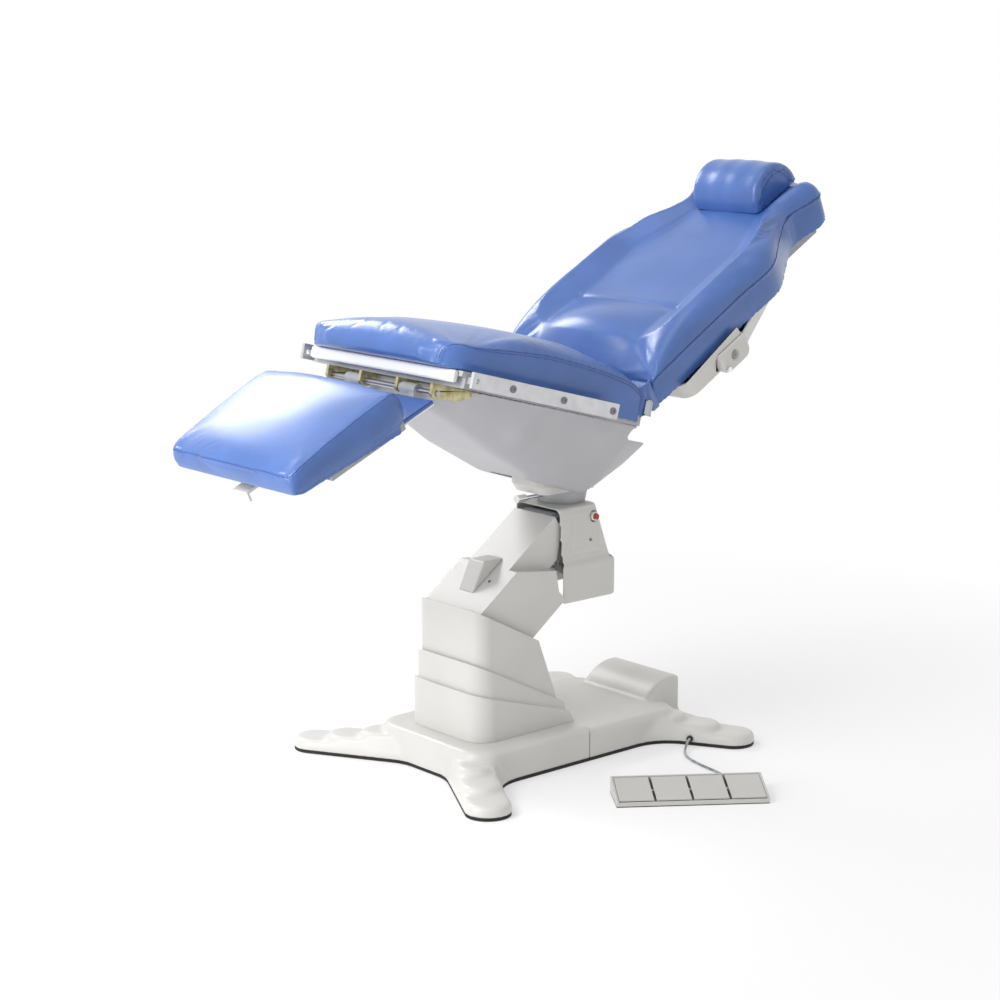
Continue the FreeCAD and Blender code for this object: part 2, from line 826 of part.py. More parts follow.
def make_control():
    depth, length, mat = size("control_depth"), size("control_length"), size("control_mat")
    back, front, end = size("control_back"), size("control_front"), size("control_end")
    thick, lip = size("pedal_thickness"), size("control_lip")
    gap, end_gap = size("pedal_gap"), size("pedal_end_gap")
    axle_x, axle_z, axle_r = size("pedal_axle_at"), size("pedal_axle_z"), size("pedal_axle_radius")
    tray = plate(
        "control_tray",
        [(0, mat), (depth, mat), (depth, back), (depth - end, back), (depth - end, mat + thick),
         (lip, mat + thick), (lip, front - thick), (0, front - thick)], 0, length)
    cheek = [(0, mat), (depth, mat), (depth, back), (0, front)]
    hole = [(axle_x, axle_z, axle_r)]
    ends = [plate("control_end_low", cheek, 0, end, hole),
            plate("control_end_high", cheek, length - end, length, hole)]
    node("control_housing", join("control_whole", [tray] + ends), CONTROL)
    node("control_mat", block("control_mat_box", (0, depth), (0, length), (0, mat)), CONTROL)
    node("pedal_axle", rod("pedal_axle_rod", "y", (axle_x, axle_z), axle_r, 0, length), CONTROL)
    relief_r = size("gland_radius")
    node("control_relief", rod(
        "relief_rod", "x", (size("relief_along"), size("gland_z")), relief_r,
        depth, depth + size("relief_length")), CONTROL)
    pitch = (length - 2 * end - 2 * end_gap + gap) / len(PEDAL_NAMES)
    tread_rear = depth - end - size("pedal_rear_gap")
    slope = (back - front) / depth
    for number, name in enumerate(PEDAL_NAMES):
        low = end + end_gap + number * pitch
        high = low + pitch - gap
        rise = front - SQUARE / 2
        tread = plate(
            name + "_tread",
            [(end, rise + slope * end), (tread_rear, rise + slope * tread_rear),
             (tread_rear, rise + slope * tread_rear - thick), (end, rise + slope * end - thick)], low, high)
        boss = rod(name + "_boss", "y", (axle_x, axle_z), size("pedal_boss_radius"), low, high)
        rib = block(
            name + "_rib", (axle_x - thick, axle_x + thick), (low, high),
            (axle_z, rise + slope * axle_x - thick / 2))
        bore_r = axle_r + size("running_gap")
        bore = rod(name + "_bore", "y", (axle_x, axle_z), bore_r, low - end, high + end)
        node(name, cut(name + "_cut", join(name + "_join", [tread, boss, rib]), [bore]), CONTROL)


# Points that the cable passes between its gland and the foot control
CORD_COURSE = (
    (252, -283, 9), (232, -299, 3.6), (214, -327, 3.4), (203, -363, 3.4), (196, -402, 3.4),
    (191, -440, 3.4), (181, -476, 4.5), (170, -499, 10),
)


def make_cord():
    """A round cable: straight runs joined by tangent arcs."""
    gland = gland_place()
    start = gland.multVec(vec(0, 0, mm("gland_flange_length")))
    finish = CONTROL.multVec(
        vec(mm("control_depth") + mm("relief_length"), mm("relief_along"), mm("gland_z")))
    straight = 2.5 * mm("cord_diameter")
    out = gland.multVec(vec(0, 0, mm("gland_flange_length") + straight))
    home = CONTROL.multVec(
        vec(mm("control_depth") + mm("relief_length") + straight, mm("relief_along"), mm("gland_z")))
    points = [start, out] + [vec(*point) for point in CORD_COURSE] + [home, finish]
    edges, last, radii = [], points[0], []
    for before, here, after in zip(points, points[1:], points[2:]):
        back, ahead = before - here, after - here
        reach = 0.45 * min(back.Length, ahead.Length)
        back.normalize()
        ahead.normalize()
        half_turn = (math.pi - back.getAngle(ahead)) / 2
        radius = reach / math.tan(half_turn)
        radii.append(radius)
        bisector = (back + ahead).normalize()
        middle = here + bisector * (radius / math.cos(half_turn) - radius)
        edges.append(Part.LineSegment(last, here + back * reach).toShape())
        edges.append(Part.Arc(here + back * reach, middle, here + ahead * reach).toShape())
        last = here + ahead * reach
    edges.append(Part.LineSegment(last, points[-1]).toShape())
    path = Part.Wire(edges)
    half = mm("cord_diameter") / 2
    ring = Part.Wire(Part.makeCircle(half, points[0], points[1] - points[0]))
    tube = path.makePipeShell([ring], True, False)
    wanted = math.pi * half * half * path.Length
    print("cable length %.1f, radii %s" % (path.Length, " ".join("%.0f" % r for r in radii)))
    lowest = tube.optimalBoundingBox(False).ZMin
    print("cable volume %.0f of %.0f, lowest point %.2f" % (tube.Volume, wanted, lowest))
    shape_node("control_cord", tube)


# Lift arm

def side_solid(outline, half):
    """A side-view outline of (x, z) corners, pushed out to both sides of the middle plane."""
    points = [vec(x, -half, z) for x, z in outline]
    return Part.Face(Part.makePolygon(points + points[:1])).extrude(vec(0, 2 * half, 0))


def arm_outline(grown):
    """Side view of the wide part of the arm cover, its ledge moved out by a clearance."""
    start, top, deep = mm("cover_gap") * 5, mm("arm_face_rise"), -mm("arm_depth")
    ledge, end, drop = mm("arm_ledge_front") + grown, mm("arm_ledge_rear") + grown, -mm("arm_ledge_drop")
    chin, heel, belly = end - mm("arm_chin_back"), end - mm("arm_heel_back"), mm("arm_belly_start")
    return [
        (start, top), (ledge, top), (end, drop), (chin, 0.78 * deep), (heel, deep), (belly, deep),
        (start, 0.6 * deep)]


def arm_upper_outline(grown):
    """Side view of the narrow upper part of the arm cover, grown by a clearance."""
    top, end = mm("arm_face_rise") + grown, mm("arm_length") - mm("arm_face_short") + grown
    root = mm("arm_ledge_front") - mm("arm_root_back")
    drop = -mm("arm_ledge_drop") - mm("arm_root_under")
    near, far = mm("arm_ledge_rear") - mm("arm_jaw_back"), mm("arm_ledge_rear") + mm("arm_jaw_reach")
    return [(root, top), (end, top), (end, -mm("arm_tip_drop")), (far, drop), (near, drop), (root, 0)]


def make_arm():
    length = size("arm_length")
    hub_half = CHEEK_IN - size("hub_clearance")
    hub_r, bore_r = size("hub_radius"), size("shaft_radius") + size("running_gap")
    beam_half, beam_high = size("arm_beam_half"), size("arm_beam_height") / 2
    wall, half = mm("arm_cover_wall"), mm("arm_cover_half")
    hubs = [rod("arm_hub_low", "y", (0, 0), hub_r, -hub_half, hub_half),
            rod("arm_hub_high", "y", (length, 0), hub_r, -hub_half, hub_half)]
    beam = block(
        "arm_beam", (hub_r / 2, length - hub_r / 2), (-beam_half, beam_half), (-beam_high, beam_high))
    stay_half = size("arm_cover_half") - size("arm_cover_wall")
    stay = block(
        "arm_stay", (length / 3 - beam_high, length / 3), (-stay_half, stay_half),
        (-2 * beam_high, SQUARE - beam_high))
    bores = [rod("arm_bore_low", "y", (0, 0), bore_r, -half, half),
             rod("arm_bore_high", "y", (length, 0), bore_r, -half, half)]
    node("lift_arm", cut("arm_bored", join("arm_weld", hubs + [beam, stay]), bores), ARM)

    top, deep = mm("arm_face_rise"), -mm("arm_depth")
    ledge_x, ledge_end, ledge_z = mm("arm_ledge_front"), mm("arm_ledge_rear"), -mm("arm_ledge_drop")
    wide = side_solid(arm_outline(0), half)
    fall = vec(ledge_end - ledge_x, 0, ledge_z - top).normalize()
    in_x, in_z = wall * fall.z, -wall * fall.x
    inner_start = ledge_x + in_x + (in_z + wall) * fall.x / -fall.z
    wide_hollow = side_solid(
        [(-BEYOND, top - wall), (inner_start, top - wall), (ledge_end + in_x, ledge_z + in_z),
         (BEYOND, ledge_z + in_z), (BEYOND, -BEYOND), (-BEYOND, -BEYOND)], half - wall)
    upper_half = mm("arm_upper_half")
    upper = side_solid(arm_upper_outline(0), upper_half)
    upper_hollow = side_solid(
        [(ledge_x - 43, top - wall), (BEYOND, top - wall), (BEYOND, -BEYOND), (ledge_x - 43, -BEYOND)],
        upper_half - wall)
    cover = wide.cut(wide_hollow).fuse(upper.cut(wide_hollow)).cut(upper_hollow)
    shape_node("arm_cover", cover.removeSplitter(), ARM)
    rise = size("arm_face_rise")
    node("arm_cap", plate(
        "arm_cap_wedge",
        [(size("cap_start"), rise), (size("cap_end"), rise), (size("cap_peak"), rise + size("cap_rise"))],
        -size("cap_half"), size("cap_half")), ARM)

    tie_half, tie_high = size("tie_thickness") / 2, size("tie_height") / 2
    bar = block("tie_bar", (0, length), (-tie_half, tie_half), (-tie_high, tie_high))
    eye_r = tie_high + 2
    tie_bore = size("tie_shaft_radius") + size("running_gap")
    eyes = [rod("tie_eye_low", "y", (0, 0), eye_r, -tie_half, tie_half),
            rod("tie_eye_high", "y", (length, 0), eye_r, -tie_half, tie_half)]
    tie_bores = [rod("tie_bore_low", "y", (0, 0), tie_bore, -half, half),
                 rod("tie_bore_high", "y", (length, 0), tie_bore, -half, half)]
    node("tie_link", cut("tie_bored", join("tie_weld", [bar] + eyes), tie_bores), TIE)


# Head

def tapered(sections):
    """A stack of (height, low x, high x, half width, corner radius) outlines joined by straight walls."""
    wires = [rounded_wire(round_plan(low, high, half, r, r), z) for z, low, high, half, r in sections]
    whole = None
    for lower, upper in zip(wires, wires[1:]):
        piece = prism_between(lower, upper)
        whole = piece if whole is None else whole.fuse(piece)
    return whole


def head_sections(inset, low):
    front = mm("head_front") + inset
    ledge, step = mm("head_ledge"), mm("skirt_step")
    half, rear, r = mm("head_half_ledge") - inset, mm("head_rear_ledge") - inset, mm("head_round") - inset
    skirt = (front, rear + step + 5, half + step, r)
    return [
        (low,) + skirt, (ledge - step,) + skirt, (ledge, front, rear, half, r),
        (mm("head_top") - inset, front, mm("head_rear_top") - inset, mm("head_half_top") - inset, r),
    ]


def head_half_at(z):
    share = (z - mm("head_ledge")) / (mm("head_top") - mm("head_ledge"))
    return mm("head_half_ledge") + share * (mm("head_half_top") - mm("head_half_ledge"))


def make_head():
    eye = size("cheek_eye")
    rear, low = size("head_cheek_rear"), size("head_cheek_bottom")
    top = HEAD_Z + eye
    outline = [
        (HEAD_X - eye, top), (rear, top), (rear, low), (TIE_HEAD_X + 20, low),
        (TIE_HEAD_X - eye, TIE_HEAD_Z - eye), (HEAD_X - eye, HEAD_Z - eye)]
    holes = [(HEAD_X, HEAD_Z, size("shaft_radius")), (TIE_HEAD_X, TIE_HEAD_Z, size("tie_shaft_radius"))]
    cheeks = both_sides(
        lambda name, y0, y1: plate(name, outline, y0, y1, holes), "head_cheek", CHEEK_IN, CHEEK_OUT)
    thick, bearing_r = size("head_plate_thickness"), size("bearing_radius")
    head_top = size("head_top")
    web = block("head_web", (rear - 2 * thick, rear), (-CHEEK_IN, CHEEK_IN), (low, top))
    roof = block("head_roof", (SWIVEL_X - bearing_r / 2, rear), (-CHEEK_IN, CHEEK_IN), (top - thick, top))
    seat_for_bearing = rod(
        "bearing_seat", "z", (SWIVEL_X, 0), bearing_r, head_top - size("bearing_height"), head_top)
    node("head_frame", cut("head_weld_bored", join("head_weld", cheeks + [web, roof]), [seat_for_bearing]))
    race = rod("bearing_race", "z", (SWIVEL_X, 0), bearing_r, head_top - size("bearing_height"), head_top)
    race_bore = rod(
        "bearing_bore", "z", (SWIVEL_X, 0), size("column_radius") + size("running_gap"),
        low, head_top + thick)
    node("swivel_bearing", cut("bearing_ring", race, [race_bore]))
    node("upper_main_shaft", rod(
        "upper_main", "y", (HEAD_X, HEAD_Z), size("shaft_radius"), -SHAFT_END, SHAFT_END))
    node("upper_tie_shaft", rod(
        "upper_tie", "y", (TIE_HEAD_X, TIE_HEAD_Z), size("tie_shaft_radius"), -SHAFT_END, SHAFT_END))

    wall, bottom, lip = mm("head_wall"), mm("head_bottom"), mm("head_lip")
    outer = tapered(head_sections(0, bottom))
    inner = tapered(head_sections(wall, bottom - wall))
    under_lip = Part.makeBox(
        BEYOND, BEYOND, mm("head_top") - lip, vec(-BEYOND / 2, -BEYOND / 2, 0))
    mouth = moved(inner, -mm("head_round"), 0).common(under_lip)
    wide_mouth = moved(inner, -2 * mm("head_round"), 0).common(under_lip)
    hole_foot = vec(mm("swivel_x"), 0, mm("head_top") - 2 * wall)
    hole = Part.makeCylinder(mm("bearing_radius"), 4 * wall, hole_foot)
    button_x, button_z = mm("button_x"), mm("button_z")
    ring_r = mm("button_radius") + mm("button_wall")
    face = head_half_at(button_z)
    button_hole = Part.makeCylinder(
        ring_r, 6 * wall, vec(button_x, -face - 3 * wall, button_z), vec(0, 1, 0))
    cover = outer.cut(inner).cut(mouth).cut(wide_mouth).cut(hole).cut(button_hole)
    room = 2 * mm("cover_gap")
    swept = side_solid(arm_upper_outline(room), mm("arm_upper_half") + room)
    swept.Placement = ARM
    for share in range(7):
        lowered = swept.copy()
        angle = mm("lift_travel") * (1 - share / 8)
        lowered.rotate(vec(float(HEAD_X), 0, float(HEAD_Z)), vec(0, 1, 0), angle)
        cover = cover.cut(lowered)
    shape_node("head_cover", cover.removeSplitter())
    ring = rod(
        "bezel_ring", "y", (size("button_x"), size("button_z")), size("button_radius") + size("button_wall"),
        -face - wall, -face + 2 * wall)
    ring_bore = rod(
        "bezel_bore", "y", (size("button_x"), size("button_z")), size("button_radius") + size("running_gap"),
        -face - 3 * wall, -face + 3 * wall)
    node("button_bezel", cut("bezel_cut", ring, [ring_bore]))
    node("stop_button", rod(
        "button_rod", "y", (size("button_x"), size("button_z")), size("button_radius"),
        -face - wall - size("button_proud"), -face + wall - size("button_travel")))


# Swivel

def make_swivel():
    head_top, gap = size("head_top"), size("soft_gap")
    neck_low = head_top + gap
    neck_top = neck_low + size("neck_height")
    column = rod(
        "neck_column", "z", (SWIVEL_X, 0), size("column_radius"),
        head_top - size("bearing_height") + 2, neck_low + SQUARE)
    flare = doc.addObject("Part::Cone", "neck_flare")
    bind(flare, "Radius1", size("neck_low_radius"))
    bind(flare, "Radius2", size("neck_high_radius"))
    bind(flare, "Height", size("neck_height"))
    bind(flare, "Placement.Base.x", SWIVEL_X)
    bind(flare, "Placement.Base.z", neck_low)
    lock_z = neck_low + size("neck_height") * 0.62
    spindle_r = size("lock_radius") * 0.55
    lock_end = SWIVEL_X - size("column_radius")
    lock_bore = rod(
        "lock_bore", "x", (0, lock_z), spindle_r + size("running_gap"),
        SWIVEL_X - 2 * size("neck_high_radius"), lock_end + SQUARE)
    node("swivel_neck", cut("neck_bored", join("neck_whole", [column, flare]), [lock_bore]))
    knob_front = lock_end - size("lock_reach") - size("lock_length")
    knob_rear = lock_end - size("lock_reach")
    node("swivel_lock", join("lock_whole", [
        rod("lock_knob", "x", (0, lock_z), size("lock_radius"), knob_front, knob_rear),
        rod("lock_spindle", "x", (0, lock_z), spindle_r, knob_rear, lock_end)]))

    front, rear, half = mm("saddle_front"), mm("saddle_rear"), mm("saddle_half")
    wall, low, high = mm("saddle_wall"), float(neck_top), float(neck_top) + mm("saddle_height")
    r = mm("saddle_round")

    def saddle(inset, top):
        """The saddle's bowl: drawn in below, straight above."""
        foot_front, foot_rear = front + r / 2 + inset, rear - r / 4 - inset
        side = front + inset, rear - inset, half - inset, r - inset
        return tapered([
            (low + inset, foot_front, foot_rear, half * 0.9 - inset, r / 2 - inset), (low + r / 2, *side),
            (top, *side)])

    shape_node("saddle_cover", saddle(0, high).cut(saddle(wall, high + wall)).removeSplitter())

    floor = neck_top + size("saddle_wall")
    foot, cheek_in = size("tilt_foot_half"), size("tilt_cheek_inner")
    cheek_out = cheek_in + size("tilt_cheek_thickness")
    axis_z, eye = size("tilt_axis_z"), size("tilt_eye")
    base = block(
        "tilt_base", (SWIVEL_X - foot, SWIVEL_X + foot), (-cheek_out, cheek_out),
        (floor, floor + size("tilt_cheek_thickness")))
    outline = [
        (SWIVEL_X - foot, floor), (SWIVEL_X + foot, floor), (SWIVEL_X + eye, axis_z),
        (SWIVEL_X - eye, axis_z)]
    cheeks = both_sides(lambda name, y0, y1: plate(name, outline, y0, y1), "tilt_cheek", cheek_in, cheek_out)
    eyes = both_sides(
        lambda name, y0, y1: rod(name, "y", (SWIVEL_X, axis_z), eye, y0, y1), "tilt_eye", cheek_in, cheek_out)
    lug_out = cheek_out + size("hub_clearance") + size("tilt_lug_thickness")
    shaft_end = lug_out + size("shaft_end")
    bore = rod(
        "tilt_bore", "y", (SWIVEL_X, axis_z), size("tilt_shaft_radius"), -2 * shaft_end, 2 * shaft_end)
    node("tilt_bracket", cut("tilt_bored", join("tilt_weld", [base] + cheeks + eyes), [bore]))
    node("tilt_shaft", rod(
        "tilt_rod", "y", (SWIVEL_X, axis_z), size("tilt_shaft_radius"), -shaft_end, shaft_end))


# Seat

ALONG_FRAME = FreeCAD.Rotation(vec(0, 1, 0), vec(0, 0, 1), vec(1, 0, 0), "XYZ")


def cross_wire(corners, along):
    """A rounded outline of (y, z, radius) corners, square to the length of its frame."""
    wire = rounded_wire(corners, along)
    wire.Placement = FreeCAD.Placement(vec(0, 0, 0), ALONG_FRAME).multiply(wire.Placement)
    return wire


def pad_wire(along, half, bottom, edge, crown, tuck=8, shoulder=0.16):
    """A cushion section: flat under side, drawn-in sides, round shoulders, crowned top."""
    seam = bottom + (edge - bottom) * 0.72
    turn = half * (1 - shoulder)
    low_y = half - tuck

    def at(y, z):
        return vec(along, y, z)

    def bulge(sign):
        return at(sign * (half * (1 - 0.25 * shoulder)), seam + (edge - seam) * 0.72)

    edges = [
        Part.LineSegment(at(-low_y, bottom), at(low_y, bottom)).toShape(),
        Part.Arc(at(low_y, bottom), at(half, (bottom + seam) / 2), at(half - tuck / 8, seam)).toShape(),
        Part.Arc(at(half - tuck / 8, seam), bulge(1), at(turn, edge)).toShape(),
        Part.Arc(at(turn, edge), at(0, crown), at(-turn, edge)).toShape(),
        Part.Arc(at(-turn, edge), bulge(-1), at(-half + tuck / 8, seam)).toShape(),
        Part.Arc(at(-half + tuck / 8, seam), at(-half, (bottom + seam) / 2), at(-low_y, bottom)).toShape(),
    ]
    return Part.Wire(edges)


TILT_DX, TILT_DZ = SWIVEL_X - size("seat_anchor_x"), size("tilt_axis_z") - size("seat_anchor_z")
TILT_U = TILT_DX * cosine("seat_tilt") - TILT_DZ * sine("seat_tilt")
TILT_W = TILT_DX * sine("seat_tilt") + TILT_DZ * cosine("seat_tilt")


def make_seat_frame():
    tube, half = size("frame_tube"), size("frame_half")
    front, rear = size("frame_front"), size("frame_rear")
    top = size("seat_bottom") - size("board_thickness")
    sides = both_sides(
        lambda name, y0, y1: block(name, (front, rear), (y0, y1), (top - tube, top)),
        "seat_side_tube", half - tube, half)
    inner = half - tube
    crosses = []
    for number, along in enumerate((front, (front + size("cross_rear")) / 2, size("cross_rear")), start=1):
        crosses.append(block(
            "seat_cross_%d" % number, (along, along + tube), (-inner, inner), (top - tube, top)))
    lug_in = size("tilt_cheek_inner") + size("tilt_cheek_thickness") + size("hub_clearance")
    lug_out = lug_in + size("tilt_lug_thickness")
    cross, eye = size("cross_rear"), size("tilt_eye")
    tilt_outline = [
        (cross, top - tube), (cross + tube, top - tube), (TILT_U - size("tilt_lug_neck"), TILT_W + eye),
        (TILT_U + eye, TILT_W + eye), (TILT_U + eye, TILT_W - eye), (TILT_U - eye, TILT_W - eye),
        (cross - tube / 2, top - 2 * tube)]
    tilt_hole = [(TILT_U, TILT_W, size("tilt_shaft_radius") + size("running_gap"))]
    tilt_lugs = both_sides(
        lambda name, y0, y1: plate(name, tilt_outline, y0, y1, tilt_hole), "tilt_lug", lug_in, lug_out)
    hinge_u, hinge_w, lug = size("back_hinge_u"), size("back_hinge_w"), size("back_lug_thickness")
    lug_eye = size("back_pin_radius") + size("lug_ring")
    land, lug_front = rear - tube - size("lug_land"), hinge_u - lug_eye + size("lug_relief")
    back_outline = [
        (land, top - tube), (rear, top - tube), (hinge_u + lug_eye, hinge_w - lug_eye),
        (hinge_u + lug_eye, hinge_w + lug_eye), (lug_front, hinge_w + lug_eye), (lug_front, top), (land, top)]
    back_hole = [(hinge_u, hinge_w, size("back_pin_radius"))]
    back_lugs = both_sides(
        lambda name, y0, y1: plate(name, back_outline, y0, y1, back_hole),
        "back_lug", half - tube - lug, half - tube)
    node("seat_frame", join("seat_weld", sides + crosses + tilt_lugs + back_lugs), SEAT)
    board_front = front - size("board_overhang")
    node("seat_board", block(
        "seat_board_box", (board_front, size("seat_rear")), (-size("board_half"), size("board_half")),
        (top, size("seat_bottom"))), SEAT)
    board_top = size("seat_bottom") - size("soft_gap")
    node("front_board", block(
        "front_board_box", (board_front - size("front_board_thickness"), board_front),
        (-size("front_board_half"), size("front_board_half")),
        (board_top - size("front_board_height"), board_top)), SEAT)
    pin_start = half - tube - 2 * lug - size("hub_clearance") - size("back_pin_head")
    node("back_hinge_pins", group("back_pins", both_sides(
        lambda name, y0, y1: rod(name, "y", (hinge_u, hinge_w), size("back_pin_radius"), y0, y1),
        "back_pin", pin_start, half - tube)), SEAT)

    hinge_x, hinge_z = size("leg_hinge_u"), size("leg_hinge_w")
    under, ear = top - tube, size("leg_ear_thickness")
    rod_r = size("leg_rod_radius")
    reach = hinge_x + size("leg_ear_length")
    long_ear = [
        (hinge_x - 17, under), (reach, under), (reach - 2, under - 14), (reach - 32, hinge_z - 7),
        (hinge_x - 9, hinge_z - 12), (hinge_x - 17, hinge_z - 4)]
    short_ear = [
        (hinge_x - 17, under), (front + tube + 10, under), (front + tube + 10, under - 8),
        (hinge_x + 9, hinge_z - 12), (hinge_x - 9, hinge_z - 12), (hinge_x - 17, hinge_z - 4)]
    rod_hole = [(hinge_x, hinge_z, rod_r)]
    ears = both_sides(
        lambda name, y0, y1: plate(name, long_ear, y0, y1, rod_hole),
        "leg_ear_long", size("leg_ear_y"), size("leg_ear_y") + ear)
    ears += both_sides(
        lambda name, y0, y1: plate(name, short_ear, y0, y1, rod_hole),
        "leg_ear_short", size("leg_inner_ear_y"), size("leg_inner_ear_y") + ear)
    node("leg_hinge_brackets", group("leg_ears", ears), SEAT)
    rod_end = size("leg_ear_y") + ear + size("shaft_end")
    node("leg_hinge_rod", rod("leg_rod", "y", (hinge_x, hinge_z), rod_r, -rod_end, rod_end), SEAT)


def make_rails():
    length, high, thick = size("rail_length"), size("rail_height") / 2, size("rail_thickness")
    outer, half = size("rail_outer"), size("frame_half")
    hole = [(size("rail_hole_inset"), 0, size("rail_hole_radius"))]
    outline = [(0, -high), (length, -high), (length, high), (0, high)]
    node("far_rail", plate("far_rail_bar", outline, outer - thick, outer, hole), SEAT)
    node("near_rail", plate("near_rail_bar", outline, -outer, thick - outer, hole), SEAT)
    spots = [size("rail_screw_first") + number * size("rail_screw_pitch") for number in range(3)]
    spacers = both_sides(
        lambda name, y0, y1: block(name, (high, high + size("frame_tube")), (y0, y1), (-high / 2, high / 3)),
        "rail_block", half, outer - thick)
    heads = []
    for number, spot in enumerate(spots, start=1):
        spacers += both_sides(
            lambda name, y0, y1: rod(name, "y", (spot, 0), size("spacer_radius"), y0, y1),
            "rail_spacer_%d" % number, half, outer - thick)
        solid = both_sides(
            lambda name, y0, y1: rod(name, "y", (spot, 0), size("screw_head_radius"), y0, y1),
            "rail_screw_%d" % number, outer, outer + size("screw_head_height"))
        sockets = both_sides(
            lambda name, y0, y1: rod(name, "y", (spot, 0), size("screw_socket_radius"), y0, y1),
            "rail_socket_%d" % number, outer + size("screw_head_height") / 3, outer + thick)
        heads += [cut("rail_head_%d_%d" % (number, side), solid[side], [sockets[side]]) for side in (0, 1)]
    node("rail_spacers", group("rail_stand_offs", spacers), SEAT)
    node("rail_screws", group("rail_heads", heads), SEAT)


def pan_wires(inset, spare):
    """Stations of the under-pan: place along, half width at the top, half width and depth at the bottom."""
    front, rear, half, nose = mm("pan_front"), mm("pan_rear"), mm("pan_half"), mm("pan_nose_half")
    top, depth, length = mm("pan_top") + spare, mm("pan_depth"), mm("pan_rear") - mm("pan_front")
    stations = (
        (front + inset, nose, 0.7 * nose, 0.26),
        (front + 0.13 * length, 0.5 * (nose + half), 0.85 * nose, 0.43),
        (front + 0.35 * length, 0.95 * half, nose, 0.72), (front + 0.63 * length, half, 1.08 * nose, 0.97),
        (front + 0.82 * length, half, 1.08 * nose, 1.0), (rear - inset, 0.86 * half, 0.92 * nose, 0.55))
    wires = []
    for along, top_half, low_half, share in stations:
        low = mm("pan_top") - share * depth + inset
        wide, narrow = top_half - inset, low_half - inset
        round_low = min(0.5 * narrow, 0.55 * share * depth)
        wires.append(cross_wire(
            [(-narrow, low, round_low), (narrow, low, round_low), (wide, top, SQUARE), (-wide, top, SQUARE)],
            along))
    return wires


def make_pan():
    wall = mm("pan_wall")
    outer = Part.makeLoft(pan_wires(0, 0), True, True)
    inner = Part.makeLoft(pan_wires(wall, wall), True, True)
    shell = outer.cut(inner)
    rear_cut = Part.makeBox(BEYOND, 2 * BEYOND, BEYOND, vec(mm("frame_rear"), -BEYOND, mm("pan_rear_top")))
    slot_half = mm("saddle_half") + 2 * mm("pan_wall")
    slot_start = float(TILT_U) - (mm("swivel_x") - mm("saddle_front")) - 4 * wall
    slot = Part.makeBox(
        BEYOND, 2 * slot_half, BEYOND, vec(slot_start, -slot_half, float(TILT_W) - BEYOND - 3 * wall))
    shape_node("seat_pan", shell.cut(rear_cut).cut(slot).removeSplitter(), SEAT)


def make_seat_cushion():
    """Low rolled front, raised sides from there to the back, and skirts beside the frame behind the rails."""
    front, rear, half = mm("seat_front"), mm("seat_rear"), mm("seat_half")
    low, edge, crown = mm("seat_bottom"), mm("seat_edge_top"), mm("seat_crown")
    length, roll = rear - front, mm("seat_roll_rise")
    stations = (
        (front, 0.60 * half, low + roll, 0.48 * edge, 0.52 * crown),
        (front + 0.02 * length, 0.76 * half, low + roll / 4, 0.60 * edge, 0.68 * crown),
        (front + 0.06 * length, 0.90 * half, low, 0.66 * edge, 0.79 * crown),
        (front + 0.14 * length, 0.98 * half, low, 0.71 * edge, 0.84 * crown),
        (front + 0.24 * length, half, low, 0.84 * edge, 0.89 * crown),
        (front + 0.34 * length, half, low, 0.95 * edge, 0.95 * crown),
        (front + 0.48 * length, half, low, edge, crown),
        (front + 0.64 * length, half, low, edge, crown),
        (front + 0.78 * length, half, low, 0.94 * edge, 0.94 * crown),
        (front + 0.88 * length, half, low, 0.85 * edge, 0.84 * crown),
        (front + 0.95 * length, 0.99 * half, low, 0.72 * edge, 0.70 * crown),
        (front + 0.98 * length, 0.98 * half, low, 0.60 * edge, 0.56 * crown),
        (rear, 0.97 * half, low, 0.46 * edge, 0.40 * crown))
    pad = Part.makeLoft([pad_wire(*row) for row in stations], True, False)
    pad = pad.cut(Part.makeBox(2 * BEYOND, 2 * BEYOND, BEYOND, vec(-BEYOND, -BEYOND, low - BEYOND)))
    start, inner = mm("seat_skirt_front"), mm("frame_half") + mm("cover_gap")
    for y in (inner, -0.98 * half):
        skirt = Part.makeBox(
            rear - start, 0.98 * half - inner, mm("seat_skirt_drop") + pad.BoundBox.ZLength / 8,
            vec(start, y, low - mm("seat_skirt_drop")))
        pad = pad.fuse(skirt)
    shape_node("seat_cushion", pad.removeSplitter(), SEAT)


# Backrest

def back_wire(along, lean, half, under, seam, ridge, valley, centre):
    """A backrest section: flat behind, upright sides, two bolsters and the panel between them."""
    ridge_y, valley_y = 0.83 * half, 0.60 * half
    low_y = half - mm("back_side_lean")

    def at(y, q):
        return vec(along + lean * (q - under), y, q)

    def bolster(sign):
        """Points of one bolster from its seam over the ridge to the valley."""
        return (
            at(sign * half, seam), at(sign * (0.55 * half + 0.5 * ridge_y), seam + 0.72 * (ridge - seam)),
            at(sign * ridge_y, ridge), at(sign * (ridge_y + valley_y) / 2, 0.42 * ridge + 0.58 * valley),
            at(sign * valley_y, valley))

    right, left = bolster(1), bolster(-1)[::-1]
    edges = [
        Part.LineSegment(at(-low_y, under), at(low_y, under)).toShape(),
        Part.LineSegment(at(low_y, under), right[0]).toShape(),
        Part.Arc(*right[:3]).toShape(), Part.Arc(*right[2:]).toShape(),
        Part.Arc(right[4], at(0, centre), left[0]).toShape(),
        Part.Arc(*left[:3]).toShape(), Part.Arc(*left[2:]).toShape(),
        Part.LineSegment(left[4], at(-low_y, under)).toShape(),
    ]
    return Part.Wire(edges)


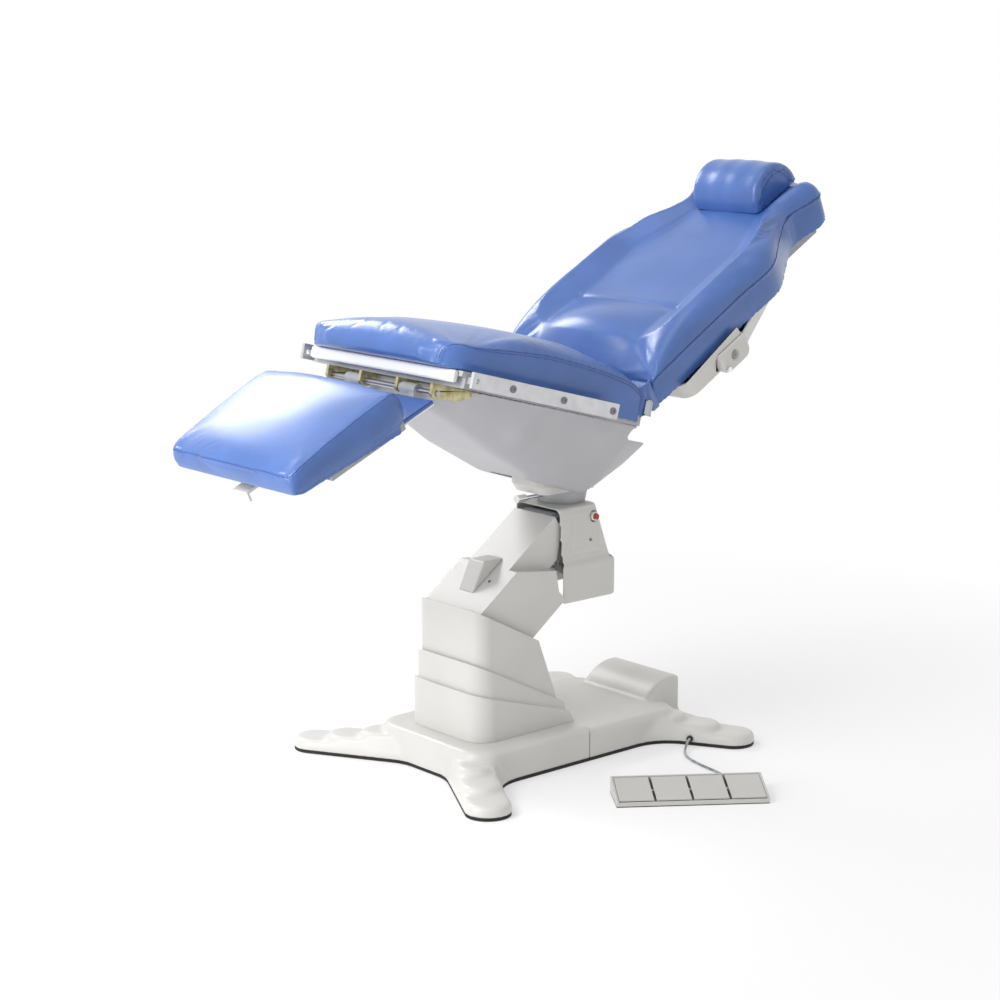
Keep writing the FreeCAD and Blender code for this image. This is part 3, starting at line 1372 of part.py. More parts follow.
def make_back_cushion():
    half, end, length = mm("back_half"), mm("back_end_half"), mm("back_length")
    neck, head = mm("neck_half"), mm("head_half")
    under, seam, ridge, panel = mm("back_under"), mm("back_seam"), mm("bolster_top"), mm("back_panel")
    start, lumbar, flat = mm("back_start"), mm("lumbar_at"), mm("panel_at")
    shoulder, neck_at, head_at = mm("shoulder_at"), mm("neck_at"), mm("head_at")
    rise = mm("lumbar_rise")
    dip = panel - 5
    narrows, wane, tail = neck_at - shoulder, half - neck, length - head_at
    stations = (
        (start, 0.39, half - 4, under, seam - 20, seam + 4, seam, seam + 8),
        (start + 70, 0.15, half, under, seam, ridge - 24, panel - 2, panel + 0.7 * rise),
        (lumbar, 0, half, under, seam, ridge - 8, panel + 4, panel + rise),
        (lumbar + 0.58 * (flat - lumbar), 0, half, under, seam, ridge - 1, panel - 2, panel + 0.45 * rise),
        (flat, 0, half, under, seam, ridge, dip, panel),
        (flat + 0.58 * (shoulder - flat), 0, half, under, seam, ridge, dip, panel),
        (shoulder, 0, half - 2, under, seam, ridge, dip, panel),
        (shoulder + 0.31 * narrows, 0, half - 0.35 * wane, under, seam, ridge, dip, panel),
        (shoulder + 0.61 * narrows, 0, half - 0.71 * wane, under, seam, ridge - 4, dip, panel),
        (neck_at, 0, neck, under, seam, ridge - 9, dip, panel),
        (head_at, 0, head, under, seam, ridge - 6, dip, panel),
        (head_at + 0.52 * tail, 0, head - 14, under + 14, seam, ridge - 22, dip, panel - 2),
        (length, 0, end, under + 40, seam - 6, ridge - 52, panel - 24, panel - 18))
    pad = Part.makeLoft([back_wire(*row) for row in stations], True, False)
    pad = pad.cut(Part.makeBox(4 * BEYOND, 2 * BEYOND, BEYOND, vec(-BEYOND, -BEYOND, under - BEYOND)))
    lug, gap = mm("back_lug_thickness"), mm("hub_clearance")
    pocket_out = mm("frame_half") - mm("frame_tube") - lug + gap
    reach = mm("back_bar_at") + mm("back_tube") + 4 * gap
    for y in (pocket_out - lug - 3 * gap, -pocket_out):
        pad = pad.cut(Part.makeBox(
            reach + BEYOND, lug + 3 * gap, mm("back_pin_radius") + 8 * gap - under, vec(-BEYOND, y, under)))
    shape_node("back_cushion", pad, BACK)


def make_back():
    make_back_cushion()
    tube, half = size("back_tube"), size("back_tube_half")
    under, bar, end = size("back_under"), size("back_bar_at"), size("back_tube_end")
    tube_low = under - tube
    tubes = both_sides(
        lambda name, y0, y1: block(name, (bar, end), (y0, y1), (tube_low, under)),
        "back_tube", half - tube, half)
    inner = half - tube
    bars = [
        block("back_bar_mid", (end / 2, end / 2 + tube), (-inner, inner), (tube_low, under)),
        block("back_bar_top", (end - tube, end), (-inner, inner), (tube_low, under))]
    lug, gap = size("back_lug_thickness"), size("hub_clearance") / 2
    ear_out = size("frame_half") - size("frame_tube") - lug - gap
    ear_in = ear_out - lug
    bars.append(block("back_bar_low", (bar, bar + tube), (-ear_out, ear_out), (tube_low, under)))
    pin_r = size("back_pin_radius")
    eye = pin_r + size("ear_ring")
    ear_outline = [(0, -eye), (0, eye), (bar + tube, under), (bar + tube, tube_low), (bar, tube_low)]
    bars += both_sides(lambda name, y0, y1: plate(name, ear_outline, y0, y1), "back_ear", ear_in, ear_out)
    bars += both_sides(lambda name, y0, y1: rod(name, "y", (0, 0), eye, y0, y1), "back_eye", ear_in, ear_out)
    bore = rod("back_bore", "y", (0, 0), pin_r + size("running_gap"), -2 * half, 2 * half)
    node("back_frame", cut("back_bored", join("back_weld", tubes + bars), [bore]), BACK)

    start, finish = mm("shell_start"), mm("shell_end")
    wide, slim = mm("shell_half"), mm("shell_end_half")
    top, depth, slope, wall = mm("back_under"), mm("shell_depth"), mm("shell_slope"), mm("shell_wall")
    bend = mm("socket_along") + mm("socket_length") / 2

    def outline(inset, height):
        corner, side, narrow = mm("shell_corner"), wide - inset, slim - inset
        plan = [
            (start + inset, -side, corner), (start + inset, side, corner), (bend, side, corner),
            (finish - inset, narrow, corner), (finish - inset, -narrow, corner), (bend, -side, corner)]
        return rounded_wire(plan, height)

    outer = prism_between(outline(0, top), outline(slope, top - depth))
    inner = prism_between(outline(wall, top + wall), outline(wall + slope, top - depth + wall))
    shell = outer.cut(inner)
    rim_end, rim_in = bend - 2 * wall, wide - mm("rim_thickness")
    rim_outline = [
        (start + wall, top), (start + wall, top + wall), (rim_end - wall, top + mm("rim_rise")),
        (rim_end, top)]
    for y in (rim_in, -wide):
        points = [vec(x, y, z) for x, z in rim_outline]
        rim = Part.Face(Part.makePolygon(points + points[:1])).extrude(vec(0, mm("rim_thickness"), 0))
        shell = shell.fuse(rim)
    for sign in (1, -1):
        bar_half = mm("back_tube") / 2
        bar_y = sign * (mm("back_tube_half") - bar_half) - bar_half
        shell = shell.cut(Part.makeBox(
            mm("back_tube_end") - mm("back_bar_at"), mm("back_tube"), mm("back_tube") + wall,
            vec(mm("back_bar_at"), bar_y, top - mm("back_tube"))))
    along, reach = mm("socket_along"), mm("socket_length") / 2
    thick, drop, face = mm("socket_thickness"), mm("socket_drop"), mm("shell_half") + mm("socket_proud")
    middle = top - drop / 2
    lobes = []
    for sign in (1, -1):
        low_y = face - thick if sign > 0 else -face
        lobe = Part.makeBox(2 * reach, thick, drop, vec(along - reach, low_y, top - drop))
        shell = shell.cut(lobe)
        across = [edge for edge in lobe.Edges if abs(edge.tangentAt(0).y) > 0.5]
        corners = [edge for edge in across if edge.CenterOfMass.z < middle]
        lobe = lobe.makeFillet(mm("socket_corner"), corners)
        bottom = sign * (face - mm("socket_depth"))
        bore = Part.makeCylinder(
            mm("socket_radius"), 2 * mm("socket_depth"), vec(along, bottom, middle), vec(0, sign, 0))
        lobes.append(lobe.cut(bore))
    shape_node("back_shell", shell.removeSplitter(), BACK)
    shape_node("armrest_sockets", Part.makeCompound(lobes), BACK)
    bolt_at = size("socket_along") - size("socket_length") / 2 + 2 * size("socket_bolt_radius")
    bolt_from = size("shell_half") + size("socket_proud")
    node("socket_bolts", group("socket_bolt_pair", both_sides(
        lambda name, y0, y1: rod(
            name, "y", (bolt_at, under - size("socket_drop") * 0.75), size("socket_bolt_radius"), y0, y1),
        "socket_bolt", bolt_from, bolt_from + size("socket_bolt_radius"))), BACK)


def make_pillow():
    """A half-round head pillow, flat underneath, with slightly drawn-in ends."""
    centre = mm("back_length") - mm("pillow_from_end")
    radius, half = mm("pillow_radius"), mm("pillow_half")
    low, high = mm("back_panel") + SQUARE, mm("pillow_height")
    wires = []
    for across, share in (
            (-half, 0.86), (-0.94 * half, 0.96), (-0.80 * half, 0.99), (-0.40 * half, 1), (0, 1),
            (0.40 * half, 1), (0.80 * half, 0.99), (0.94 * half, 0.96), (half, 0.86)):
        reach, rise = radius * share, high * share
        left, right = vec(centre - reach, across, low), vec(centre + reach, across, low)
        crown = vec(centre, across, low + rise)
        lean = vec(centre - 0.98 * reach, across, low + 0.22 * rise)
        far = vec(centre + 0.98 * reach, across, low + 0.22 * rise)
        wires.append(Part.Wire([
            Part.LineSegment(right, left).toShape(), Part.LineSegment(left, lean).toShape(),
            Part.Arc(lean, crown, far).toShape(), Part.LineSegment(far, right).toShape()]))
    shape_node("head_pillow", Part.makeLoft(wires, True, False), BACK)


# Leg rest

def make_leg():
    bar, half = size("leg_bar"), size("leg_bar_half")
    eye, rod_r = size("leg_eye_radius"), size("leg_rod_radius")
    bore_r = rod_r + size("running_gap")
    front, rear = size("tongue_front"), size("tongue_rear")
    stop = front - size("leg_bar_short")
    outline = [
        (-eye / 2, -0.8 * eye), (eye / 2, 0.8 * eye), (rear, -eye), (stop, -eye), (stop, -eye - bar),
        (rear, -eye - bar)]
    arms = both_sides(lambda name, y0, y1: plate(name, outline, y0, y1), "leg_arm", half - bar, half)
    eye_in = size("leg_inner_ear_y") + size("leg_ear_thickness") + size("hub_clearance")
    eyes = both_sides(lambda name, y0, y1: rod(name, "y", (0, 0), eye, y0, y1), "leg_eye", eye_in, half)
    cross = block("leg_cross", (stop - bar, stop), (bar - half, half - bar), (-eye - bar, -eye))
    bore = rod("leg_bore", "y", (0, 0), bore_r, -2 * half, 2 * half)
    node("leg_frame", cut("leg_bored", join("leg_weld", arms + eyes + [cross]), [bore]), LEG)
    tongue_half, thick = size("tongue_half"), size("tongue_thickness")
    tongue_top = thick - eye
    tongue = block("leg_tongue_box", (rear, front), (-tongue_half, tongue_half), (-eye, tongue_top))
    node("leg_tongue", tongue, LEG)

    gap = size("soft_gap")
    lever_at, lever_z = size("lever_at"), -size("lever_drop") - gap
    lever_half, pin_r, thin = size("lever_half"), size("lever_pin_radius"), size("lever_thickness")
    board_low = tongue_top + gap
    board_top = board_low + size("footboard_thickness")
    pad_rear, pad_front = size("footpad_rear"), size("footpad_front")
    lip = size("footboard_lip")
    inset = size("footboard_lip") / 2
    span = (pad_rear + inset, pad_front - size("footboard_inset"))
    runner_span = (pad_rear + inset, lever_at - lever_half)
    board = block("foot_board", span, (-tongue_half - gap, tongue_half + gap), (board_low, board_top))
    lips = both_sides(
        lambda name, y0, y1: block(name, runner_span, (y0, y1), (-eye - gap - lip / 2, board_top)),
        "foot_lip", tongue_half + gap, tongue_half + gap + lip)
    runners = both_sides(
        lambda name, y0, y1: block(name, runner_span, (y0, y1), (-eye - gap - lip / 2, -eye - gap)),
        "foot_runner", tongue_half - 2 * lip, tongue_half + gap)
    ear_outline = [
        (lever_at - 3 * pin_r, board_low), (lever_at - 3 * pin_r, lever_z - 2 * pin_r),
        (lever_at + 3 * pin_r, lever_z - 2 * pin_r), (lever_at + 3 * pin_r, board_low)]
    ears = both_sides(
        lambda name, y0, y1: plate(
            name, ear_outline, y0, y1, [(lever_at, lever_z, pin_r + size("running_gap"))]),
        "lever_ear", lever_half + gap, lever_half + gap + lip)
    node("footpad_board", join("foot_board_weld", [board] + lips + runners + ears), LEG)
    pin_end = lever_half + gap + lip
    lever = join("lever_weld", [
        rod("lever_barrel", "y", (lever_at, lever_z), pin_r + thin / 2, -lever_half, lever_half),
        rod("lever_pin", "y", (lever_at, lever_z), pin_r, -pin_end, pin_end),
        block("lever_paddle", (lever_at, lever_at + size("lever_length")), (-lever_half, lever_half),
              (lever_z - thin / 2, lever_z + thin / 2)),
        block("lever_tip_plate", (lever_at + size("lever_length") - thin, lever_at + size("lever_length")),
              (-lever_half, lever_half), (lever_z - size("lever_tip"), lever_z))])
    node("release_lever", lever, LEG)

    low, edge, crown = float(board_top), mm("footpad_edge_top"), mm("footpad_crown")
    pad_half = mm("footpad_half")
    rear_at, front_at = mm("footpad_rear"), mm("footpad_front")
    long = front_at - rear_at
    stations = (
        (rear_at, 0.95 * pad_half, low, 0.90 * edge, 0.86 * crown),
        (rear_at + 0.03 * long, 0.99 * pad_half, low, 1.06 * edge, crown),
        (rear_at + 0.12 * long, 1.02 * pad_half, low, 1.14 * edge, 1.08 * crown),
        (rear_at + 0.32 * long, 1.01 * pad_half, low, 1.11 * edge, 1.08 * crown),
        (rear_at + 0.62 * long, pad_half, low, edge, crown),
        (rear_at + 0.81 * long, pad_half, low, 0.90 * edge, 0.90 * crown),
        (rear_at + 0.94 * long, 0.99 * pad_half, low, 0.79 * edge, 0.77 * crown),
        (front_at, 0.95 * pad_half, low, 0.62 * edge, 0.58 * crown))
    pad = Part.makeLoft([pad_wire(*row) for row in stations], True, False)
    pad = pad.cut(Part.makeBox(2 * BEYOND, 2 * BEYOND, BEYOND, vec(-BEYOND, -BEYOND, low - BEYOND)))
    inner, deep = float(tongue_half + gap + lip) + mm("cover_gap"), low - mm("pad_skirt")
    outer = 0.94 * pad_half
    fall = rear_at + 0.05 * long, front_at - 0.06 * long
    over, under = low + lip.value, low - lip.value
    skirt_outline = [(fall[0], deep), (fall[0], over), (fall[1], over), (fall[1], under)]
    for y in (inner, -outer):
        points = [vec(x, y, z) for x, z in skirt_outline]
        skirt = Part.Face(Part.makePolygon(points + points[:1])).extrude(vec(0, outer - inner, 0))
        pad = pad.fuse(skirt)
    shape_node("footpad_cushion", pad.removeSplitter(), LEG)


make_base_shells()
make_base_inside()
make_control()
make_cord()
make_arm()
make_head()
make_swivel()
make_seat_frame()
make_rails()
make_pan()
make_seat_cushion()
make_back()
make_pillow()
make_leg()
doc.recompute()

faults = []
for thing in doc.Objects:
    if "Invalid" in thing.State or "Error" in thing.State:
        faults.append("%s: %s" % (thing.Label, thing.State))
for thing in NODES:
    if thing.Shape.isNull() or not thing.Shape.isValid() or thing.Shape.Volume <= 0:
        faults.append("%s: no sound solid" % thing.Label)
if faults:
    raise RuntimeError("; ".join(faults))

os.makedirs("parts", exist_ok=True)
for thing in NODES:
    thing.Shape.exportStep("parts/%s.step" % thing.Label)
print("%d sub-parts written" % len(NODES))
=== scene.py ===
"""Looks of an examination chair: upholstery, moulded covers, metalwork, foot control and stage."""

import json
import math

import bmesh
import bpy
import numpy as np
from mathutils import Matrix, Vector
from mathutils.bvhtree import BVHTree


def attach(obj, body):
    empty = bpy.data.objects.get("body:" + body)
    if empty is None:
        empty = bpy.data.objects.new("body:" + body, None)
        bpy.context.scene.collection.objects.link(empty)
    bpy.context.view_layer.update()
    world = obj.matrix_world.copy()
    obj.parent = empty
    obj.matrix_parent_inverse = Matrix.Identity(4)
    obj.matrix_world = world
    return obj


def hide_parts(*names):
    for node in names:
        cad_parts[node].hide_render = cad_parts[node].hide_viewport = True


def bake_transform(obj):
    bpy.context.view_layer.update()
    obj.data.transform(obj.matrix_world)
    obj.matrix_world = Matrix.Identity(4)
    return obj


bl_info = {
    "name": "Examination Chair",
    "version": (1, 0, 0),
    "blender": (4, 5, 0),
    "location": "View3D > Sidebar > Exam Chair",
    "description": "Dresses the packed examination chair with upholstery, finishes, trim and a stage",
    "category": "Object",
}

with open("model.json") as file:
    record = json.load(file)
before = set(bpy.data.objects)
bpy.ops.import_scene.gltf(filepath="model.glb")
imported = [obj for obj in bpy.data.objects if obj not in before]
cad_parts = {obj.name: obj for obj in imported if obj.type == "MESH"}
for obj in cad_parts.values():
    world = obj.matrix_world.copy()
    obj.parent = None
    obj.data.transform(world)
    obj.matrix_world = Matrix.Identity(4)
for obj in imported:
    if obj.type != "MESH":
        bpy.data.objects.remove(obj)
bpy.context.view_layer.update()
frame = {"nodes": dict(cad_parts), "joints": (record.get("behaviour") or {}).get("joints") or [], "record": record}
NODES = frame["nodes"]
SLOT_OF = {row["node"]: row["material_slot"] for row in frame["record"]["subparts"]}
JOINTS = {joint["name"]: joint for joint in frame["joints"]}
BODY_OF = {name: body for body, names in frame["record"]["behaviour"]["bodies"].items() for name in names}
MM = 0.001


# Frames of the tilted groups, in metres

def turned(origin, x_axis, z_axis):
    """A frame from its origin and two of its axes."""
    x_axis, z_axis = Vector(x_axis), Vector(z_axis)
    y_axis = z_axis.cross(x_axis)
    columns = Matrix((x_axis, y_axis, z_axis)).transposed()
    return Matrix.Translation(Vector(origin)) @ columns.to_4x4()


SEAT_TILT = math.radians(15)
BACK_ANGLE = math.radians(30)
LEG_ANGLE = math.radians(24)
# Front end of the seat at the middle of the chair
SEAT_FRONT = (-0.413, 0, 0.947)
SEAT = turned(
    SEAT_FRONT, (math.cos(SEAT_TILT), 0, -math.sin(SEAT_TILT)),
    (math.sin(SEAT_TILT), 0, math.cos(SEAT_TILT)))
BACK = turned(
    JOINTS["recline"]["pos_m"], (math.cos(BACK_ANGLE), 0, math.sin(BACK_ANGLE)),
    (-math.sin(BACK_ANGLE), 0, math.cos(BACK_ANGLE)))
LEG = turned(
    JOINTS["leg_fold"]["pos_m"], (-math.cos(LEG_ANGLE), 0, -math.sin(LEG_ANGLE)),
    (-math.sin(LEG_ANGLE), 0, math.cos(LEG_ANGLE)))


# Settings that a user would change

class ChairColours(bpy.types.PropertyGroup):
    """Colours of the finishes, as sRGB hex values."""
    upholstery: bpy.props.StringProperty(
        name="Upholstery", description="Coated fabric of the cushions", default="4569ad")
    # The piping colour is the upholstery's skin painted darker, as painted shade of the fold it lies in
    piping: bpy.props.StringProperty(
        name="Piping", description="Sewn edge cord of the cushions", default="2c4384")
    thread: bpy.props.StringProperty(
        name="Thread", description="Sewing thread of the top stitching", default="30498c")
    cover: bpy.props.StringProperty(
        name="Covers", description="Moulded covers", default="d4d2ce")
    front_panel: bpy.props.StringProperty(
        name="Front panel", description="Laminate under the front of the seat", default="e9e9ec")
    frame_paint: bpy.props.StringProperty(
        name="Frame", description="Powder coat of the hidden steelwork", default="aaacaf")
    zinc: bpy.props.StringProperty(
        name="Zinc plate", description="Yellow plated leg brackets", default="c3b98f")
    control: bpy.props.StringProperty(
        name="Foot control", description="Shell of the foot control", default="c6c5c1")
    floor: bpy.props.StringProperty(
        name="Floor", description="Studio floor", default="fbfbfb")


class ChairSizes(bpy.types.PropertyGroup):
    """Sizes of the dressing."""
    edge_round: bpy.props.FloatProperty(
        name="Edge round", description="Radius on the edges of the moulded covers", default=0.005,
        unit="LENGTH")
    metal_round: bpy.props.FloatProperty(
        name="Metal edge", description="Radius on the edges of metal pieces", default=0.0008, unit="LENGTH")
    voxel: bpy.props.FloatProperty(
        name="Cloth mesh", description="Grid size of the upholstery meshes", default=0.006, unit="LENGTH")
    cover_voxel: bpy.props.FloatProperty(
        name="Cover mesh", description="Grid size of the flowing covers", default=0.0028, unit="LENGTH")
    piping_radius: bpy.props.FloatProperty(
        name="Piping radius", description="Half the thickness of the sewn edge cord", default=0.0016,
        unit="LENGTH")
    cable_diameter: bpy.props.FloatProperty(
        name="Cable", description="Diameter of the cable of the foot control", default=0.006, unit="LENGTH")
    lens: bpy.props.FloatProperty(
        name="Lens", description="Focal length of the camera in millimetres", default=81.9)


def colours():
    return bpy.context.scene.chair_colours


def sizes():
    return bpy.context.scene.chair_sizes


# Materials

def linear(hex_text):
    """An sRGB hex value as linear colour."""
    parts = [int(hex_text[i:i + 2], 16) / 255 for i in (0, 2, 4)]
    return tuple(p / 12.92 if p <= 0.04045 else ((p + 0.055) / 1.055) ** 2.4 for p in parts) + (1.0,)


def add(tree, kind, inputs=None, **settings):
    """Adds a node with its settings. An input is a value, or another node's socket to link from."""
    made = tree.nodes.new(kind)
    for name, value in settings.items():
        setattr(made, name, value)
    for name, value in (inputs or {}).items():
        if isinstance(value, bpy.types.NodeSocket):
            tree.links.new(value, made.inputs[name])
        else:
            made.inputs[name].default_value = value
    return made


def surface(name, hex_text, roughness, metallic=0.0, ior=1.5):
    """A new material with its shader, and its place in object space."""
    material = bpy.data.materials.new(name)
    material.use_nodes = True
    tree = material.node_tree
    shader = tree.nodes["Principled BSDF"]
    shader.inputs["Base Color"].default_value = linear(hex_text)
    shader.inputs["Roughness"].default_value = roughness
    shader.inputs["Metallic"].default_value = metallic
    shader.inputs["IOR"].default_value = ior
    place = add(tree, "ShaderNodeTexCoord").outputs["Object"]
    return material, tree, shader, place


def per_metre(millimetres):
    """Pattern scale for a repeat of that many millimetres."""
    return 1000 / millimetres


def mottle(tree, shader, place, hex_low, hex_high, millimetres):
    """Slow drift of colour between two near tones."""
    noise = add(tree, "ShaderNodeTexNoise", {
        "Vector": place, "Scale": per_metre(millimetres), "Detail": 3.0})
    ramp = add(tree, "ShaderNodeValToRGB", {"Fac": noise.outputs["Fac"]})
    ramp.color_ramp.elements[0].position, ramp.color_ramp.elements[1].position = 0.35, 0.65
    ramp.color_ramp.elements[0].color, ramp.color_ramp.elements[1].color = linear(hex_low), linear(hex_high)
    tree.links.new(ramp.outputs["Color"], shader.inputs["Base Color"])


def relief(tree, shader, height, depth, strength=0.5):
    """Raises a pattern on the surface by a depth in metres."""
    bump = add(tree, "ShaderNodeBump", {"Height": height, "Distance": depth, "Strength": strength})
    tree.links.new(bump.outputs["Normal"], shader.inputs["Normal"])


def shade(hex_text, factor):
    """The same hue, lighter or darker."""
    parts = [min(255, int(int(hex_text[i:i + 2], 16) * factor)) for i in (0, 2, 4)]
    return "%02x%02x%02x" % tuple(parts)


def coated_fabric():
    # Vinyl coated knit, embossed with a fine leather grain: broad soft highlights, slight unevenness
    base = colours().upholstery
    material, tree, shader, place = surface("vinyl_coated_fabric", base, 0.33)
    mottle(tree, shader, place, shade(base, 0.965), shade(base, 1.03), 85)
    # The grain of about 0.7 mm is drawn at 1.8 mm so that it shows
    grain = add(
        tree, "ShaderNodeTexVoronoi", {"Vector": place, "Scale": per_metre(1.8)}, feature="SMOOTH_F1")
    relief(tree, shader, grain.outputs["Distance"], 0.00025, 0.35)
    shader.inputs["Coat Weight"].default_value = 0.35
    shader.inputs["Coat Roughness"].default_value = 0.24
    return material


def sewn_cord():
    # Vinyl wrapped piping: the same skin, its colour painted darker as painted shade of the fold that it lies in
    material, tree, shader, place = surface("vinyl_piping_painted_fold_shade", colours().piping, 0.45)
    mottle(tree, shader, place, shade(colours().piping, 0.9), shade(colours().piping, 1.08), 12)
    grain = add(tree, "ShaderNodeTexNoise", {"Vector": place, "Scale": per_metre(1.5), "Detail": 2.0})
    relief(tree, shader, grain.outputs["Fac"], 0.0002)
    return material


def sewing_thread():
    # Twisted polyester thread: dull with a fine slanted lay
    material, tree, shader, place = surface("polyester_thread", colours().thread, 0.7)
    lay = add(tree, "ShaderNodeTexWave", {"Vector": place, "Scale": per_metre(0.6), "Distortion": 0.5})
    mottle(tree, shader, place, shade(colours().thread, 0.85), shade(colours().thread, 1.15), 2)
    relief(tree, shader, lay.outputs["Fac"], 0.0001)
    return material


def moulded_abs(name, hex_text, roughness=0.36):
    # Injection moulded ABS with a spark eroded skin: satin, even, faint large drift of tone
    material, tree, shader, place = surface(name, hex_text, roughness, ior=1.54)
    mottle(tree, shader, place, shade(hex_text, 0.985), shade(hex_text, 1.012), 220)
    # The stipple of 0.2 mm is drawn at 1.1 mm so that it shows
    stipple = add(tree, "ShaderNodeTexNoise", {"Vector": place, "Scale": per_metre(1.1), "Detail": 2.0})
    relief(tree, shader, stipple.outputs["Fac"], 0.0001, 0.25)
    return material


def powder_coat(name, hex_text):
    # Baked polyester powder on steel: low gloss orange peel
    material, tree, shader, place = surface(name, hex_text, 0.5)
    mottle(tree, shader, place, shade(hex_text, 0.95), shade(hex_text, 1.05), 60)
    peel = add(tree, "ShaderNodeTexNoise", {"Vector": place, "Scale": per_metre(2.2), "Detail": 1.0})
    relief(tree, shader, peel.outputs["Fac"], 0.0002, 0.3)
    return material


def worked_metal(name, hex_text, roughness, line_mm):
    # Bare metal with the marks of its working along one way
    material, tree, shader, place = surface(name, hex_text, roughness, metallic=1.0)
    stretch = add(tree, "ShaderNodeMapping", {"Vector": place, "Scale": (0.04, 1.0, 1.0)})
    lines = add(tree, "ShaderNodeTexNoise", {
        "Vector": stretch.outputs["Vector"], "Scale": per_metre(line_mm), "Detail": 4.0})
    spread = add(tree, "ShaderNodeMapRange", {
        "Value": lines.outputs["Fac"], "To Min": roughness * 0.8, "To Max": roughness * 1.25})
    tree.links.new(spread.outputs["Result"], shader.inputs["Roughness"])
    mottle(tree, shader, place, shade(hex_text, 0.97), shade(hex_text, 1.02), 30)
    relief(tree, shader, lines.outputs["Fac"], 0.00005, 0.2)
    return material


def yellow_zinc():
    # Zinc plate with a yellow chromate film: pale gold with faint cloudy bands
    base = colours().zinc
    material, tree, shader, place = surface("yellow_zinc_plate", base, 0.32, metallic=0.85)
    mottle(tree, shader, place, shade(base, 0.86), shade(base, 1.1), 14)
    peel = add(tree, "ShaderNodeTexNoise", {"Vector": place, "Scale": per_metre(3.0), "Detail": 2.0})
    relief(tree, shader, peel.outputs["Fac"], 0.0001, 0.3)
    return material


def black_rubber(name, hex_text):
    # Moulded rubber: dull, faintly dusty
    material, tree, shader, place = surface(name, hex_text, 0.75)
    mottle(tree, shader, place, shade(hex_text, 0.85), shade(hex_text, 1.3), 18)
    grain = add(tree, "ShaderNodeTexNoise", {"Vector": place, "Scale": per_metre(1.4), "Detail": 3.0})
    relief(tree, shader, grain.outputs["Fac"], 0.0002)
    return material


def faced_board():
    # Chipboard with a light grey melamine face: flat, faintly flecked
    material, tree, shader, place = surface("melamine_faced_board", "b9b9b8", 0.5)
    mottle(tree, shader, place, "b2b2b1", "bfbfbe", 6)
    fleck = add(tree, "ShaderNodeTexNoise", {"Vector": place, "Scale": per_metre(2.5), "Detail": 2.0})
    relief(tree, shader, fleck.outputs["Fac"], 0.0001, 0.3)
    return material


FINISHES = {}


def make_finishes():
    """One finish for each material slot of the record, and those of the added trim."""
    hues = colours()
    cover = moulded_abs("satin_abs_cover", hues.cover)
    FINISHES.update({
        "upholstery": coated_fabric(),
        "piping": sewn_cord(),
        "thread": sewing_thread(),
        "shell": cover,
        "seal": black_rubber("floor_rubber", "1b1b1b"),
        "frame_paint": powder_coat("powder_coated_steel", hues.frame_paint),
        "steel": worked_metal("ground_steel", "b4b6ba", 0.3, 0.8),
        "chromed": worked_metal("polished_chrome", "e6e7ea", 0.08, 3),
        "zinc": yellow_zinc(),
        "rail": worked_metal("anodised_aluminium", "cfcfd2", 0.46, 0.9),
        "board": faced_board(),
        "white_board": moulded_abs("white_laminate", hues.front_panel, 0.3),
        "red": moulded_abs("red_abs", "b3161b", 0.22),
        "white": moulded_abs("white_abs", "f1f1ef", 0.25),
        "control_grey": moulded_abs("grey_abs_control", hues.control, 0.42),
        "control_dark": black_rubber("tread_rubber", "2a2b2c"),
        "cable": black_rubber("grey_cable_sheath", "8d8f92"),
        "black": moulded_abs("black_abs", "202123", 0.5),
        # The pan is a darker, slightly bluer copy of the cover finish: painted shade for the shade beneath the
        # seat
        "pan": moulded_abs("satin_abs_pan_painted_shade", "b2b2b6", 0.42),
        "screw": worked_metal("blackened_steel", "7d7f84", 0.35, 0.6),
    })


# Working on pieces

# Points of a solid's mesh that lie closer than this are one
JOIN_WITHIN = 2e-5
# Faces that meet at more than this make an edge to round
EDGE_ANGLE = math.radians(32)
# Least travel that is told from none
TINY = 1e-6


def put(name, mesh, body, slot):
    """A new piece from a mesh, in a finish, riding on a body if one is given."""
    piece = bpy.data.objects.new(name, mesh)
    bpy.context.scene.collection.objects.link(piece)
    mesh.materials.clear()
    mesh.materials.append(FINISHES[slot])
    if body:
        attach(piece, body)
    return piece


def dress(name, round_radius, segments=3):
    """Gives a solid its finish and rounds its edges."""
    piece = NODES[name]
    mesh = piece.data
    mesh.materials.clear()
    mesh.materials.append(FINISHES[SLOT_OF[name]])
    if "custom_normal" in mesh.attributes:
        mesh.attributes.remove(mesh.attributes["custom_normal"])
    mesh.shade_smooth()
    weld = piece.modifiers.new("joined skin", "WELD")
    weld.merge_threshold = JOIN_WITHIN
    bevel = piece.modifiers.new("rounded edges", "BEVEL")
    bevel.width = round_radius
    bevel.segments = segments
    bevel.limit_method = "ANGLE"
    bevel.angle_limit = EDGE_ANGLE
    bevel.use_clamp_overlap = True
    bevel.harden_normals = False
    normals = piece.modifiers.new("even shading", "WEIGHTED_NORMAL")
    normals.keep_sharp = True
    return piece


def remeshed(name, voxel, soften=6):
    """A copy of a solid's form as an even grid of faces."""
    source = bpy.data.objects.new("form_" + name, NODES[name].data.copy())
    bpy.context.scene.collection.objects.link(source)
    weld = source.modifiers.new("weld", "WELD")
    weld.merge_threshold = JOIN_WITHIN
    remesh = source.modifiers.new("grid", "REMESH")
    remesh.mode = "VOXEL"
    remesh.voxel_size = voxel
    smooth = source.modifiers.new("soften", "SMOOTH")
    smooth.factor, smooth.iterations = 0.5, soften
    bpy.context.view_layer.update()
    graph = bpy.context.evaluated_depsgraph_get()
    mesh = bpy.data.meshes.new_from_object(source.evaluated_get(graph))
    bpy.data.objects.remove(source)
    mesh.shade_smooth()
    return mesh


def tree_of(mesh):
    """A search tree of a mesh's faces."""
    shape = bmesh.new()
    shape.from_mesh(mesh)
    tree = BVHTree.FromBMesh(shape)
    shape.free()
    return tree


